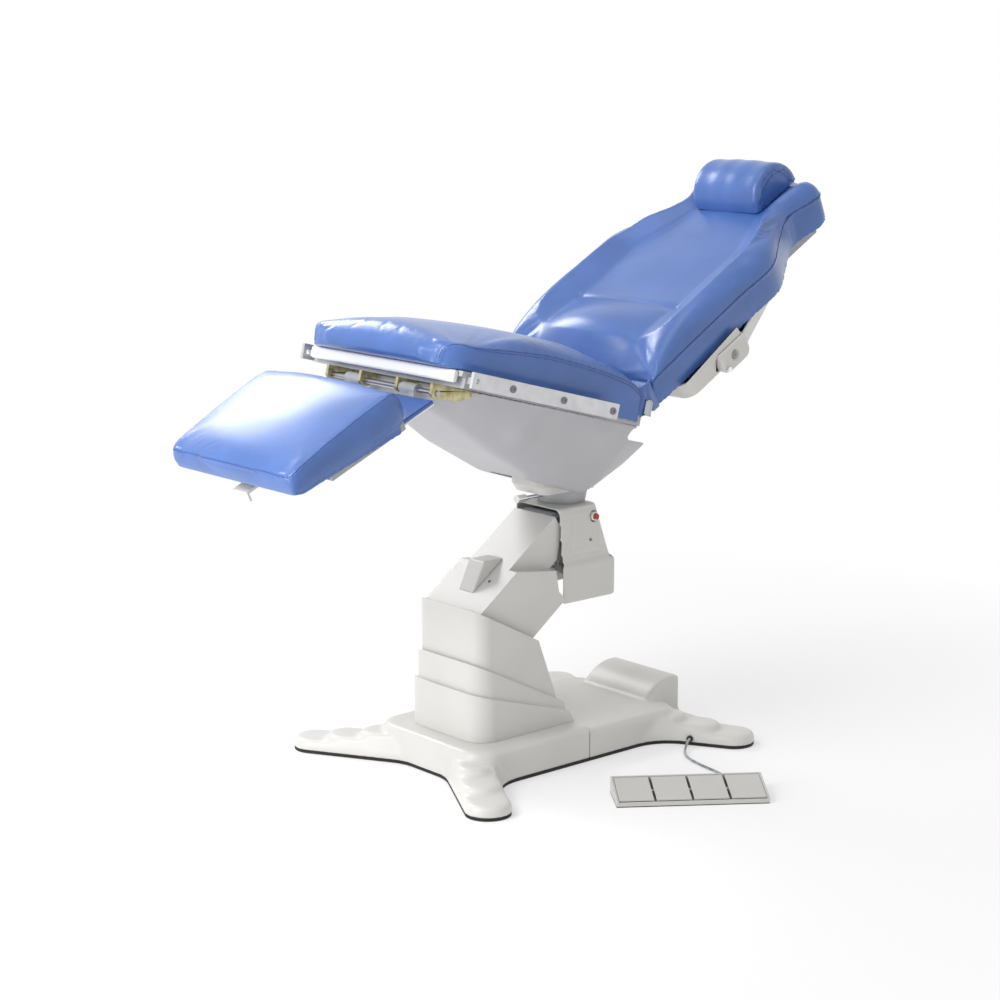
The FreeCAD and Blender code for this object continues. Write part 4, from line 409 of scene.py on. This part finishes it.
def column(mesh, what):
    """Places or normals of a mesh's points, one row each."""
    values = np.empty(len(mesh.vertices) * 3, dtype=np.float32)
    mesh.vertices.foreach_get(what, values)
    return values.reshape(-1, 3)


def set_places(mesh, places):
    mesh.vertices.foreach_set("co", places.ravel())
    mesh.update()


def distance_to(places, points):
    """Distance of each place from the nearest of some points."""
    nearest = np.full(len(places), np.inf, dtype=np.float32)
    for point in points:
        np.minimum(nearest, ((places - np.array(point, dtype=np.float32)) ** 2).sum(axis=1), out=nearest)
    return np.sqrt(nearest)


def spot(place, along, across, up):
    """A point of a tilted frame, given in millimetres, with across along the chair's own width."""
    return place @ Vector((along * MM, 0, up * MM)) + Vector((0, across * MM, 0))


def smooth_line(knots, spacing):
    """Points along a curve that runs through the given ones."""
    ends = [knots[0], *knots, knots[-1]]
    out = []
    for a, b, c, d in zip(ends, ends[1:], ends[2:], ends[3:]):
        count = max(1, round((c - b).length / spacing))
        for i in range(count):
            t = i / count
            bend = 2 * a - 5 * b + 4 * c - d + t * (3 * b - a - 3 * c + d)
            out.append(b + 0.5 * t * ((c - a) + t * bend))
    out.append(knots[-1])
    return out


def course_on(tree, place, course, side, spacing=0.005):
    """A sewing course laid on a surface; side mirrors it across the chair."""
    knots = [spot(place, along, side * across, up) for along, across, up in course]
    return [tree.find_nearest(point)[0] for point in smooth_line(knots, spacing)]


def evened(mesh, rounds, held):
    """Rounds a skin off by letting each free point drift to the middle of its neighbours."""
    ends = np.empty(len(mesh.edges) * 2, dtype=np.int32)
    mesh.edges.foreach_get("vertices", ends)
    first, second = ends[0::2], ends[1::2]
    places = column(mesh, "co").astype(np.float64)
    count = len(places)
    degree = np.bincount(ends, minlength=count)[:, None]
    drift = np.where(held(places), 0.0, 0.5)[:, None]
    for _ in range(rounds):
        total = np.stack([
            np.bincount(first, places[second, axis], count)
            + np.bincount(second, places[first, axis], count)
            for axis in range(3)], axis=1)
        places += drift * (total / degree - places)
    set_places(mesh, places.astype(np.float32))


def height_in(place, places):
    """Height of each place above the ground plane of a tilted frame."""
    return (places - np.array(place.translation)) @ np.array(place.to_3x3() @ Vector((0, 0, 1)))


def tube(name, points, radius, body, slot):
    """A round bead along points."""
    curve = bpy.data.curves.new(name, "CURVE")
    curve.dimensions = "3D"
    curve.bevel_depth = radius
    curve.bevel_resolution = 3
    line = curve.splines.new("NURBS")
    line.points.add(len(points) - 1)
    for knot, point in zip(line.points, points):
        knot.co = (*point, 1)
    line.order_u = 3
    line.use_endpoint_u = True
    bead = bpy.data.objects.new(name, curve)
    bpy.context.scene.collection.objects.link(bead)
    curve.materials.append(FINISHES[slot])
    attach(bead, body)
    return bead


def press_in(mesh, points, width, depth):
    """Draws a surface in along a line of points, as a seam does."""
    places = column(mesh, "co")
    drop = depth * np.exp(-(distance_to(places, points) / width) ** 2)
    set_places(mesh, places - column(mesh, "normal") * drop[:, None])


def blown(mesh, held, reach):
    """Blows a form up as cloth over its filling, fixed where held; no point moves further than reach."""
    scene = bpy.context.scene
    form = bpy.data.objects.new("blown_form", mesh)
    scene.collection.objects.link(form)
    form.vertex_groups.new(name="held").add(held, 1.0, "REPLACE")
    cloth = form.modifiers.new("cloth", "CLOTH")
    cloth.settings.use_pressure = True
    cloth.settings.uniform_pressure_force = CLOTH_PRESSURE
    cloth.settings.vertex_group_mass = "held"
    cloth.settings.effector_weights.gravity = 0
    cloth.point_cache.frame_start, cloth.point_cache.frame_end = 1, CLOTH_FRAMES
    for frame_number in range(1, CLOTH_FRAMES + 1):
        scene.frame_set(frame_number)
    graph = bpy.context.evaluated_depsgraph_get()
    start = column(mesh, "co")
    step = column(form.evaluated_get(graph).data, "co") - start
    bpy.data.objects.remove(form)
    travel = np.linalg.norm(step, axis=1)
    step *= np.minimum(1, reach / np.maximum(travel, TINY))[:, None]
    set_places(mesh, start + step)
    scene.frame_set(1)


def finer(mesh):
    """The same skin with each face divided once."""
    source = bpy.data.objects.new("coarse_form", mesh)
    bpy.context.scene.collection.objects.link(source)
    divide = source.modifiers.new("divide", "SUBSURF")
    divide.levels = divide.render_levels = 1
    bpy.context.view_layer.update()
    graph = bpy.context.evaluated_depsgraph_get()
    result = bpy.data.meshes.new_from_object(source.evaluated_get(graph))
    bpy.data.objects.remove(source)
    result.shade_smooth()
    return result


# Upholstery

CLOTH_PRESSURE = 4
CLOTH_FRAMES = 20
# How much smaller a form starts, and how far its skin may then swell
SHRINK = 0.003
SWELL = 0.007
PAD_SWELL = 0.013
# Reach of the fabric that a seam holds still
SEAM_HOLD = 0.005
# Faces that look down more than this rest on a board
UNDERSIDE = -0.6
# Width and depth of a seam's groove in metres, for each kind of seam
PIPED_GROOVE = (0.0035, 0.0022)
PLAIN_GROOVE = (0.003, 0.0016)
PILLOW_GROOVE = (0.003, 0.0015)
LUMBAR_GROOVE = (0.012, 0.004)
# Beads of the seams as shares of the piping's radius, and how far one stands out of its groove
SEAT_BEAD = 0.45
PILLOW_BEAD = 0.55
PAD_BEAD = 0.5
TRIM_BEAD = 1.3
BEAD_PROUD = 0.25
# The thin tongue needs a finer mesh than the cushions
TONGUE_MESH = 0.5


def padded_piece(node, name, body, place, courses, swell=SWELL):
    """A cushion of the form of its solid, sewn along its courses and blown up between them."""
    mesh = remeshed(node, sizes().voxel)
    tree = tree_of(mesh)
    sewn = [point for course, side in courses for point in course_on(tree, place, course, side)]
    places, normals = column(mesh, "co"), column(mesh, "normal")
    up = np.array(place.to_3x3() @ Vector((0, 0, 1)), dtype=np.float32)
    fixed = (normals @ up < UNDERSIDE) | (distance_to(places, sewn) < SEAM_HOLD)
    set_places(mesh, places - normals * np.where(fixed, 0, SHRINK)[:, None])
    blown(mesh, np.flatnonzero(fixed).tolist(), swell)
    piece = put(name, finer(mesh), body, "upholstery")
    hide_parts(node)
    return piece


def sew(piece, name, body, points, share, groove):
    """A seam: the skin drawn in along a line, with a bead lying in it."""
    press_in(piece.data, points, *groove)
    bead = sizes().piping_radius * share
    tree = tree_of(piece.data)
    laid = []
    for point in points:
        hit, normal, _, _ = tree.find_nearest(point)
        laid.append(hit + normal * bead * BEAD_PROUD)
    return tube(name, laid, bead, body, "piping")


def stitch_row(piece, name, body, points, length=0.0045, gap=0.0035, radius=0.0007):
    """A row of single stitches lying on the skin."""
    tree = tree_of(piece.data)
    mesh = bmesh.new()
    walked, carry = [], 0.0
    for a, b in zip(points, points[1:]):
        span = (b - a).length
        while carry < span:
            walked.append((a.lerp(b, carry / span), (b - a).normalized()))
            carry += length + gap
        carry -= span
    for point, way in walked:
        hit, normal, _, _ = tree.find_nearest(point)
        ring_frame = turned(hit + normal * radius * 0.5, way, normal)
        spin = Matrix.Rotation(math.pi / 2, 4, "Y")
        bmesh.ops.create_cone(
            mesh, cap_ends=True, segments=6, radius1=radius, radius2=radius, depth=length,
            matrix=ring_frame @ spin)
    data = bpy.data.meshes.new(name)
    mesh.to_mesh(data)
    mesh.free()
    data.shade_smooth()
    return put(name, data, body, "thread")


SIDES = ((-1, "near"), (1, "far"))

# Sewing courses as (along, across, up) in millimetres of the cushion's own frame, for the far side
SEAT_SEAM = (
    (-47, 222, 20), (-48, 226, 40), (-42, 232, 58), (-28, 240, 70), (-8, 254, 76), (20, 268, 74),
    (60, 274, 74), (130, 276, 80), (220, 276, 86), (340, 276, 84), (460, 274, 74), (510, 272, 60),
    (534, 268, 44),
)
# The stitches run below the seam, from where it turns along the side
STITCH_DROP = 7
SIDE_START = 5
SEAT_TOP_STITCH = tuple((along, across, up - STITCH_DROP) for along, across, up in SEAT_SEAM[SIDE_START:])
BACK_PIPING = (
    (40, 268, 38), (120, 268, 42), (250, 268, 45), (400, 268, 46), (500, 268, 46), (580, 262, 46),
    (640, 250, 46), (700, 235, 46), (757, 222, 46), (800, 210, 45), (838, 190, 42),
)
LUMBAR_LINE = ((262, -160, 40), (256, -90, 40), (254, 0, 40), (256, 90, 40), (262, 160, 40))
PAD_SIDE_SEAM = (
    (112, 214, 20), (113, 220, 50), (118, 224, 74), (134, 226, 84), (200, 226, 82), (300, 225, 76),
    (380, 222, 66), (418, 218, 58), (426, 205, 54),
)
PAD_FRONT_SEAM = ((426, -205, 54), (429, -120, 56), (430, 0, 57), (429, 120, 56), (426, 205, 54))
# The pillow's end seam is a half circle: its middle, distance from the chair's middle, radius and points
PILLOW_MIDDLE = (731, 80)
PILLOW_SEAM = 99
PILLOW_REACH = 60
PILLOW_STEPS = 12
TONGUE_EDGE = ((24, 196, -1), (60, 196, -1), (110, 196, -1), (280, 196, -1))
TONGUE_TRIM = ((24, 196, -11), (60, 196, -11), (110, 196, -11), (280, 196, -11))
# Where the hinge fabric leaves the seat and where it joins the back
FABRIC_SEAT = 522
FABRIC_BACK = 42
FABRIC_THICKNESS = 0.0014
# Heights of the gusset's two edges, its distance from the middle, how it swells, and its faces each way
GUSSET_SEAT = (-12, 64)
GUSSET_BACK = (-27, 44)
GUSSET_INNER = 256
GUSSET_SWELL = 9
GUSSET_FULLNESS = 0.7
GUSSET_FACES = (22, 26)
# Number and depth of the pleats, how they lean, and their share of depth at the foot
PLEATS = 3
PLEAT_DEPTH = 1.6
PLEAT_LEAN = 0.4
PLEAT_FOOT = 0.4
# Heights of the strip on the seat and on the back, its sag, and its faces each way
STRIP_SEAT = 50
STRIP_BACK = 34
STRIP_SAG = 5
STRIP_FACES = (40, 14)

# The clip at the hinge: its middle, then each bar's place, length, height and thickness
CLIP_MIDDLE = (555, 268, 24)
CLIP_BARS = (
    (0, 0, 20, 34, 1.2), (-9, 0, 4, 36, 3), (9, 0, 4, 36, 3), (0, -16, 22, 4, 3), (0, 16, 22, 4, 3),
)


def hinge_clip(name, side):
    """A pressed clip over the gusset's foot: a plate with a raised rim."""
    shape = bmesh.new()
    for along, up, length, height, thickness in CLIP_BARS:
        middle = spot(SEAT, CLIP_MIDDLE[0] + along, side * CLIP_MIDDLE[1], CLIP_MIDDLE[2] + up)
        size = Matrix.Diagonal((length * MM, thickness * MM, height * MM, 1))
        stand = Matrix.Translation(middle) @ SEAT.to_3x3().to_4x4()
        bmesh.ops.create_cube(shape, size=1, matrix=stand @ size)
    mesh = bpy.data.meshes.new(name)
    shape.to_mesh(mesh)
    shape.free()
    piece = put(name, mesh, "seat", "steel")
    bevel = piece.modifiers.new("rounded edges", "BEVEL")
    bevel.width, bevel.segments = sizes().metal_round, 3
    return piece


class CHAIR_OT_seat(bpy.types.Operator):
    """Upholsters the seat with its side seams and top stitching"""
    bl_idname = "exam_chair.seat"
    bl_label = "Seat cushion"

    def execute(self, context):
        courses = [(SEAT_SEAM, side) for side, word in SIDES]
        piece = padded_piece("seat_cushion", "seat_upholstery", "seat", SEAT, courses)
        tree = tree_of(piece.data)
        for side, word in SIDES:
            seam = course_on(tree, SEAT, SEAT_SEAM, side)
            sew(piece, "seat_seam_" + word, "seat", seam, SEAT_BEAD, PLAIN_GROOVE)
            row = course_on(tree, SEAT, SEAT_TOP_STITCH, side)
            stitch_row(piece, "seat_stitching_" + word, "seat", row)
        return {"FINISHED"}


class CHAIR_OT_back(bpy.types.Operator):
    """Upholsters the backrest with its piped edge and lumbar crease"""
    bl_idname = "exam_chair.back"
    bl_label = "Back cushion"

    def execute(self, context):
        courses = [(BACK_PIPING, side) for side, word in SIDES]
        piece = padded_piece("back_cushion", "back_upholstery", "back", BACK, courses)
        tree = tree_of(piece.data)
        press_in(piece.data, course_on(tree, BACK, LUMBAR_LINE, 1), *LUMBAR_GROOVE)
        for side, word in SIDES:
            piping = course_on(tree, BACK, BACK_PIPING, side)
            sew(piece, "back_piping_" + word, "back", piping, 1, PIPED_GROOVE)
        return {"FINISHED"}


class CHAIR_OT_pillow(bpy.types.Operator):
    """Upholsters the head pillow with its end seams"""
    bl_idname = "exam_chair.pillow"
    bl_label = "Head pillow"

    def execute(self, context):
        along, up = PILLOW_MIDDLE
        course = []
        for step in range(PILLOW_STEPS + 1):
            angle = math.pi * step / PILLOW_STEPS
            course.append((
                along + PILLOW_REACH * math.cos(angle), PILLOW_SEAM, up + PILLOW_REACH * math.sin(angle)))
        courses = [(course, side) for side, word in SIDES]
        piece = padded_piece("head_pillow", "pillow_upholstery", "pillow", BACK, courses)
        tree = tree_of(piece.data)
        for side, word in SIDES:
            seam = course_on(tree, BACK, course, side)
            sew(piece, "pillow_seam_" + word, "pillow", seam, PILLOW_BEAD, PILLOW_GROOVE)
        return {"FINISHED"}


class CHAIR_OT_leg_rest(bpy.types.Operator):
    """Upholsters the foot pad and the tongue behind it"""
    bl_idname = "exam_chair.leg_rest"
    bl_label = "Leg rest"

    def execute(self, context):
        courses = [(PAD_SIDE_SEAM, side) for side, word in SIDES] + [(PAD_FRONT_SEAM, 1)]
        pad = padded_piece(
            "footpad_cushion", "footpad_upholstery", "footpad", LEG, courses, PAD_SWELL)
        tree = tree_of(pad.data)
        for side, word in SIDES:
            seam = course_on(tree, LEG, PAD_SIDE_SEAM, side)
            sew(pad, "footpad_seam_" + word, "footpad", seam, PAD_BEAD, PLAIN_GROOVE)
        seam = course_on(tree, LEG, PAD_FRONT_SEAM, 1)
        sew(pad, "footpad_seam_front", "footpad", seam, PAD_BEAD, PLAIN_GROOVE)
        tongue = remeshed("leg_tongue", sizes().voxel * TONGUE_MESH)
        piece = put("tongue_upholstery", tongue, "leg", "upholstery")
        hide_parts("leg_tongue")
        tree = tree_of(tongue)
        for side, word in SIDES:
            edge = course_on(tree, LEG, TONGUE_EDGE, side)
            tube("tongue_piping_" + word, edge, sizes().piping_radius, "leg", "piping")
            trim = course_on(tree, LEG, TONGUE_TRIM, side)
            tube("tongue_trim_" + word, trim, sizes().piping_radius * TRIM_BEAD, "leg", "white_board")
        return {"FINISHED"}


def hinge_cloth(name, rows, columns, point, turned_over):
    """A sheet of fabric from seat to back, on no body; point gives its places."""
    points = [point(row / rows, step / columns) for row in range(rows + 1) for step in range(columns + 1)]
    faces = []
    for row in range(rows):
        for step in range(columns):
            corner = row * (columns + 1) + step
            face = (corner, corner + 1, corner + columns + 2, corner + columns + 1)
            faces.append(face[::-1] if turned_over else face)
    mesh = bpy.data.meshes.new(name)
    mesh.from_pydata(points, [], faces)
    mesh.shade_smooth()
    piece = put(name, mesh, None, "upholstery")
    skin = piece.modifiers.new("skin", "SOLIDIFY")
    skin.thickness = FABRIC_THICKNESS
    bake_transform(piece)
    return piece


class CHAIR_OT_gussets(bpy.types.Operator):
    """Sews the fabric that closes the hinge between seat and back: a strip inside and pleated sides"""
    bl_idname = "exam_chair.gussets"
    bl_label = "Hinge gussets"

    def execute(self, context):
        for side, word in SIDES:
            def pleated(rise, part):
                low = GUSSET_SEAT[0] + rise * (GUSSET_SEAT[1] - GUSSET_SEAT[0])
                high = GUSSET_BACK[0] + rise * (GUSSET_BACK[1] - GUSSET_BACK[0])
                swell = math.sin(math.pi * part) ** GUSSET_FULLNESS
                depth = PLEAT_DEPTH * swell * (PLEAT_FOOT + (1 - PLEAT_FOOT) * rise)
                pleat = depth * math.sin(2 * math.pi * (PLEATS * part + PLEAT_LEAN * rise))
                across = GUSSET_INNER + GUSSET_SWELL * swell + pleat
                edge = spot(SEAT, FABRIC_SEAT, 0, low).lerp(spot(BACK, FABRIC_BACK, 0, high), part)
                return edge + Vector((0, side * across * MM, 0))

            hinge_cloth("hinge_gusset_" + word, *GUSSET_FACES, pleated, side > 0)
            hinge_clip("hinge_clip_" + word, side)

        def strip(share, part):
            across = (2 * share - 1) * GUSSET_INNER
            low = spot(SEAT, FABRIC_SEAT, across, STRIP_SEAT)
            high = spot(BACK, FABRIC_BACK, across, STRIP_BACK)
            return low.lerp(high, part) - Vector((0, 0, STRIP_SAG * math.sin(math.pi * part) * MM))

        hinge_cloth("hinge_strip", *STRIP_FACES, strip, False)
        return {"FINISHED"}


# Rigid pieces

COVERS = ("pylon_cover", "arm_cover", "arm_cap", "saddle_cover", "swivel_neck")
# Covers whose edges are rounder or crisper than the rest, as shares of the edge round
FULLER = {"pylon_cover": 1.4, "arm_cap": 0.8}
# Foot of the base covers and the line where they meet
FOOT_TOP = 0.013
SPLIT_X = 0.033
SPLIT_HOLD = 0.004
# Heights in their tilted frames above which the rims of the pan, shell and sockets keep their form
PAN_RIM = -0.026
SHELL_RIM = -0.034
SOCKET_RIM = -0.031


def base_held(places):
    """Points of a base cover at the floor and at the split, which keep their place."""
    return (places[:, 2] < FOOT_TOP) | (np.abs(places[:, 0] - SPLIT_X) < SPLIT_HOLD)


# Moulded covers with flowing edges: rounds of evening, and what stays as it is
SOFT_COVERS = {
    "front_base_cover": (30, base_held),
    "rear_base_cover": (30, base_held),
    "head_cover": (24, lambda places: np.zeros(len(places), dtype=bool)),
    "seat_pan": (60, lambda places: height_in(SEAT, places) > PAN_RIM),
    "back_shell": (24, lambda places: height_in(BACK, places) > SHELL_RIM),
    "armrest_sockets": (24, lambda places: height_in(BACK, places) > SOCKET_RIM),
}
# Swells on the sides of the pan in millimetres, and their width and depth in metres, below 0 for outwards
PAN_SWELLS = ((-172, 182, 787), (18, 242, 786))
PAN_SWELL = (0.035, -0.009)
# Corners of the panel on the head in millimetres, and its groove's spacing, width and depth in metres
HEAD_PANEL = (
    (80, -77, 566), (112, -77, 566), (146, -77, 566), (151, -78, 560), (158, -85, 476), (154, -86, 466),
    (112, -86, 466), (72, -86, 466), (67, -85, 472), (74, -78, 558), (80, -77, 566),
)
PANEL_STEP = 0.003
PANEL_GROOVE = (0.0028, 0.0018)
METALWORK = (
    "base_plate", "pylon_frame", "lower_main_shaft", "lower_tie_shaft", "lift_arm", "tie_link", "head_frame",
    "swivel_bearing", "upper_main_shaft", "upper_tie_shaft", "tilt_bracket", "tilt_shaft", "swivel_lock",
    "seat_frame", "near_rail", "far_rail", "rail_spacers", "rail_screws", "leg_hinge_brackets",
    "leg_hinge_rod", "back_hinge_pins", "back_frame", "socket_bolts", "leg_frame", "footpad_board",
    "release_lever", "seat_board", "button_bezel", "stop_button", "floor_seal", "levelling_pads",
    "power_unit", "cable_gland",
)
# Radius of the front board's edges
BOARD_ROUND = 0.006
PEDALS = ("pedal_one", "pedal_two", "pedal_three", "pedal_four")
CONTROL = ("control_housing", "control_mat", "control_relief", "pedal_axle", *PEDALS)
# The pedals' edges are rounder than those of the housing
PEDAL_FULLER = 2
# Small screws: name, body, place in millimetres and the way that the head faces
SCREWS = (
    ("arm_screw", "arm", (-147.2, -43.0, 429.3), (-0.59, 0, 0.80)),
    ("head_screw", "head", (129.6, -82.6, 493.0), (0, -1, 0.08)),
)
SCREW_RADIUS = 3.5
SCREW_SEGMENTS = 24
# Rings of a screw's head from its foot to the floor of its socket: reach, rise and whether six-sided
SCREW_RINGS = (
    (1.0, 0.0, False), (1.0, 0.35, False), (0.86, 0.55, False), (0.62, 0.58, False), (0.5, 0.55, True),
    (0.5, 0.1, True),
)


def screw(name, body, place, way):
    """A socket head screw standing on a face."""
    stand = turned(Vector(place) * MM, Vector(way).orthogonal().normalized(), Vector(way).normalized())
    radius = SCREW_RADIUS * MM
    shape = bmesh.new()
    loops = []
    for reach, rise, six_sided in SCREW_RINGS:
        loop = []
        for step in range(SCREW_SEGMENTS):
            angle = 2 * math.pi * step / SCREW_SEGMENTS
            r = reach * radius
            if six_sided:
                r *= math.cos(math.pi / 6) / math.cos(angle % (math.pi / 3) - math.pi / 6)
            corner = Vector((r * math.cos(angle), r * math.sin(angle), rise * radius))
            loop.append(shape.verts.new(stand @ corner))
        loops.append(loop)
    for low, high in zip(loops, loops[1:]):
        for step in range(SCREW_SEGMENTS):
            after = (step + 1) % SCREW_SEGMENTS
            shape.faces.new((low[step], low[after], high[after], high[step]))
    shape.faces.new(loops[-1])
    shape.faces.new(loops[0][::-1])
    mesh = bpy.data.meshes.new(name)
    shape.to_mesh(mesh)
    shape.free()
    mesh.shade_smooth()
    return put(name, mesh, body, "screw")


class CHAIR_OT_covers(bpy.types.Operator):
    """Rounds and finishes the moulded covers"""
    bl_idname = "exam_chair.covers"
    bl_label = "Moulded covers"

    def execute(self, context):
        for name in COVERS:
            dress(name, sizes().edge_round * FULLER.get(name, 1), segments=4)
        for name, (rounds, held) in SOFT_COVERS.items():
            mesh = remeshed(name, sizes().cover_voxel, soften=1)
            evened(mesh, rounds, held)
            piece = put(name + "_skin", mesh, BODY_OF[name], "shell")
            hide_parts(name)
            if name == "seat_pan":
                # The darker pan finish is painted shade beneath the seat
                piece.data.materials[0] = FINISHES["pan"]
                for along, across, up in PAN_SWELLS:
                    middles = [(along * MM, side * across * MM, up * MM) for side, word in SIDES]
                    press_in(mesh, middles, *PAN_SWELL)
            if name == "head_cover":
                groove = smooth_line([Vector(corner) * MM for corner in HEAD_PANEL], PANEL_STEP)
                press_in(mesh, groove, *PANEL_GROOVE)
        return {"FINISHED"}


class CHAIR_OT_metalwork(bpy.types.Operator):
    """Finishes the steelwork, rails, screws and brackets"""
    bl_idname = "exam_chair.metalwork"
    bl_label = "Metalwork"

    def execute(self, context):
        for name in METALWORK:
            dress(name, sizes().metal_round, segments=2)
        dress("front_board", BOARD_ROUND, segments=4)
        NODES["rail_screws"].data.materials[0] = FINISHES["screw"]
        NODES["release_lever"].data.materials[0] = FINISHES["shell"]
        for row in SCREWS:
            screw(*row)
        return {"FINISHED"}


class CHAIR_OT_control(bpy.types.Operator):
    """Finishes the foot control"""
    bl_idname = "exam_chair.control"
    bl_label = "Foot control"

    def execute(self, context):
        for name in CONTROL:
            dress(name, sizes().metal_round * (PEDAL_FULLER if name in PEDALS else 1))
        return {"FINISHED"}


# Route of the cable from its gland to the foot control, in metres
CABLE_ROUTE = (
    (0.28937, -0.25956, 0.016), (0.27638, -0.26706, 0.016), (0.252, -0.283, 0.009), (0.232, -0.299, 0.0036),
    (0.214, -0.327, 0.0034), (0.203, -0.363, 0.0034), (0.196, -0.402, 0.0034), (0.191, -0.440, 0.0034),
    (0.181, -0.476, 0.0045), (0.170, -0.499, 0.010), (0.15639, -0.51675, 0.016), (0.14757, -0.52889, 0.016),
)


class CHAIR_OT_cable(bpy.types.Operator):
    """Lays the cable of the foot control"""
    bl_idname = "exam_chair.cable"
    bl_label = "Cable"

    def execute(self, context):
        cable = tube("control_cable", CABLE_ROUTE, sizes().cable_diameter / 2, "base", "cable")
        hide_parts("control_cord")
        return {"FINISHED"}


# Stage

CAMERA_PLACE = (-3.4263, -3.8538, 1.6572)
CAMERA_PITCH = math.radians(11.674)
CAMERA_YAW = math.radians(40.983)
SENSOR_WIDTH = 36
CLIP_END = 100
SKY_LIGHT = 0.6
# The floor reaches this far, and fades to white between two distances from the chair, in metres
FLOOR_REACH = 30
FADE_START = 0.7
FADE_END = 2.2
# Share of plain white in the floor beside the chair
FADE_LEAST = 0.35
# Round lamps: name, place, what they point at, diameter in metres and watts
LAMPS = (
    ("key_light", (-2.5, 0.1, 2.3), (-0.1, 0, 0.7), 1.6, 48),
    ("top_light", (-0.6, -0.6, 4.0), (0, 0, 0.6), 2.4, 18),
    ("sheen_light", (0.05, 2.6, 2.5), (-0.5, 0, 0.85), 1.3, 34),
    ("low_light", (-2.9, 0.2, 0.7), (0, 0, 0.4), 1.4, 17),
)


def looked_at(tree):
    """1 for rays from the camera and for what metal or glass shows of the surroundings, else 0."""
    path = add(tree, "ShaderNodeLightPath")
    shown = add(tree, "ShaderNodeMath", {
        0: path.outputs["Is Glossy Ray"], 1: path.outputs["Is Transmission Ray"]}, operation="MAXIMUM")
    either = add(tree, "ShaderNodeMath", {
        0: path.outputs["Is Camera Ray"], 1: shown.outputs["Value"]}, operation="MAXIMUM")
    return either.outputs["Value"]


class CHAIR_OT_stage(bpy.types.Operator):
    """Sets the floor, the lights and the camera"""
    bl_idname = "exam_chair.stage"
    bl_label = "Stage"

    def execute(self, context):
        scene = context.scene
        scene.view_settings.view_transform = "Standard"
        lens = bpy.data.cameras.new("camera")
        lens.lens, lens.sensor_width = sizes().lens, SENSOR_WIDTH
        lens.clip_end = CLIP_END
        camera = bpy.data.objects.new("camera", lens)
        scene.collection.objects.link(camera)
        camera.location = CAMERA_PLACE
        look = Vector((
            math.cos(CAMERA_PITCH) * math.sin(CAMERA_YAW), math.cos(CAMERA_PITCH) * math.cos(CAMERA_YAW),
            -math.sin(CAMERA_PITCH)))
        camera.rotation_euler = look.to_track_quat("-Z", "Y").to_euler()
        scene.camera = camera

        mesh = bpy.data.meshes.new("studio_floor")
        corners = [(x * FLOOR_REACH, y * FLOOR_REACH, 0) for x, y in ((-1, -1), (1, -1), (1, 1), (-1, 1))]
        mesh.from_pydata(corners, [], [(0, 1, 2, 3)])
        floor = bpy.data.objects.new("studio_floor", mesh)
        scene.collection.objects.link(floor)
        material, tree, shader, place = surface("studio_floor", colours().floor, 0.8)
        output = tree.nodes["Material Output"]
        far = add(tree, "ShaderNodeVectorMath", {"Vector": place}, operation="LENGTH")
        fade = add(tree, "ShaderNodeMapRange", {
            "Value": far.outputs["Value"], "From Min": FADE_START, "From Max": FADE_END,
            "To Min": FADE_LEAST, "To Max": 1.0})
        white = add(tree, "ShaderNodeEmission", {"Color": linear("ffffff"), "Strength": 1.0})
        seen = add(tree, "ShaderNodeMixShader", {"Fac": fade.outputs["Result"]})
        tree.links.new(shader.outputs["BSDF"], seen.inputs[1])
        tree.links.new(white.outputs["Emission"], seen.inputs[2])
        mix = add(tree, "ShaderNodeMixShader", {"Fac": looked_at(tree)})
        tree.links.new(shader.outputs["BSDF"], mix.inputs[1])
        tree.links.new(seen.outputs["Shader"], mix.inputs[2])
        tree.links.new(mix.outputs["Shader"], output.inputs["Surface"])
        mesh.materials.append(material)

        world = bpy.data.worlds.new("studio")
        scene.world = world
        world.use_nodes = True
        sky = world.node_tree
        back = sky.nodes["Background"]
        strength = add(sky, "ShaderNodeMapRange", {
            "Value": looked_at(sky), "To Min": SKY_LIGHT, "To Max": 1.0})
        sky.links.new(strength.outputs["Result"], back.inputs["Strength"])
        back.inputs["Color"].default_value = (1, 1, 1, 1)

        for name, place, target, diameter, watts in LAMPS:
            data = bpy.data.lights.new(name, "AREA")
            data.shape, data.size, data.energy = "DISK", diameter, watts
            light = bpy.data.objects.new(name, data)
            scene.collection.objects.link(light)
            light.location = place
            way = Vector(target) - Vector(place)
            light.rotation_euler = way.to_track_quat("-Z", "Y").to_euler()
        return {"FINISHED"}


class CHAIR_PT_panel(bpy.types.Panel):
    """Lists the steps that dress the chair"""
    bl_idname = "CHAIR_PT_panel"
    bl_label = "Examination Chair"
    bl_space_type = "VIEW_3D"
    bl_region_type = "UI"
    bl_category = "Exam Chair"

    def draw(self, context):
        for step in STEPS:
            self.layout.operator(step.bl_idname)


STEPS = (CHAIR_OT_stage, CHAIR_OT_cable, CHAIR_OT_seat, CHAIR_OT_back, CHAIR_OT_pillow, CHAIR_OT_leg_rest,
         CHAIR_OT_gussets, CHAIR_OT_covers, CHAIR_OT_metalwork, CHAIR_OT_control)
CLASSES = (ChairColours, ChairSizes, *STEPS, CHAIR_PT_panel)


def register():
    for cls in CLASSES:
        bpy.utils.register_class(cls)
    bpy.types.Scene.chair_colours = bpy.props.PointerProperty(type=ChairColours)
    bpy.types.Scene.chair_sizes = bpy.props.PointerProperty(type=ChairSizes)


def unregister():
    del bpy.types.Scene.chair_colours
    del bpy.types.Scene.chair_sizes
    for cls in reversed(CLASSES):
        bpy.utils.unregister_class(cls)


def main():
    register()
    make_finishes()
    for step in STEPS:
        group, name = step.bl_idname.split(".")
        getattr(getattr(bpy.ops, group), name)()


if __name__ == "__main__":
    main()
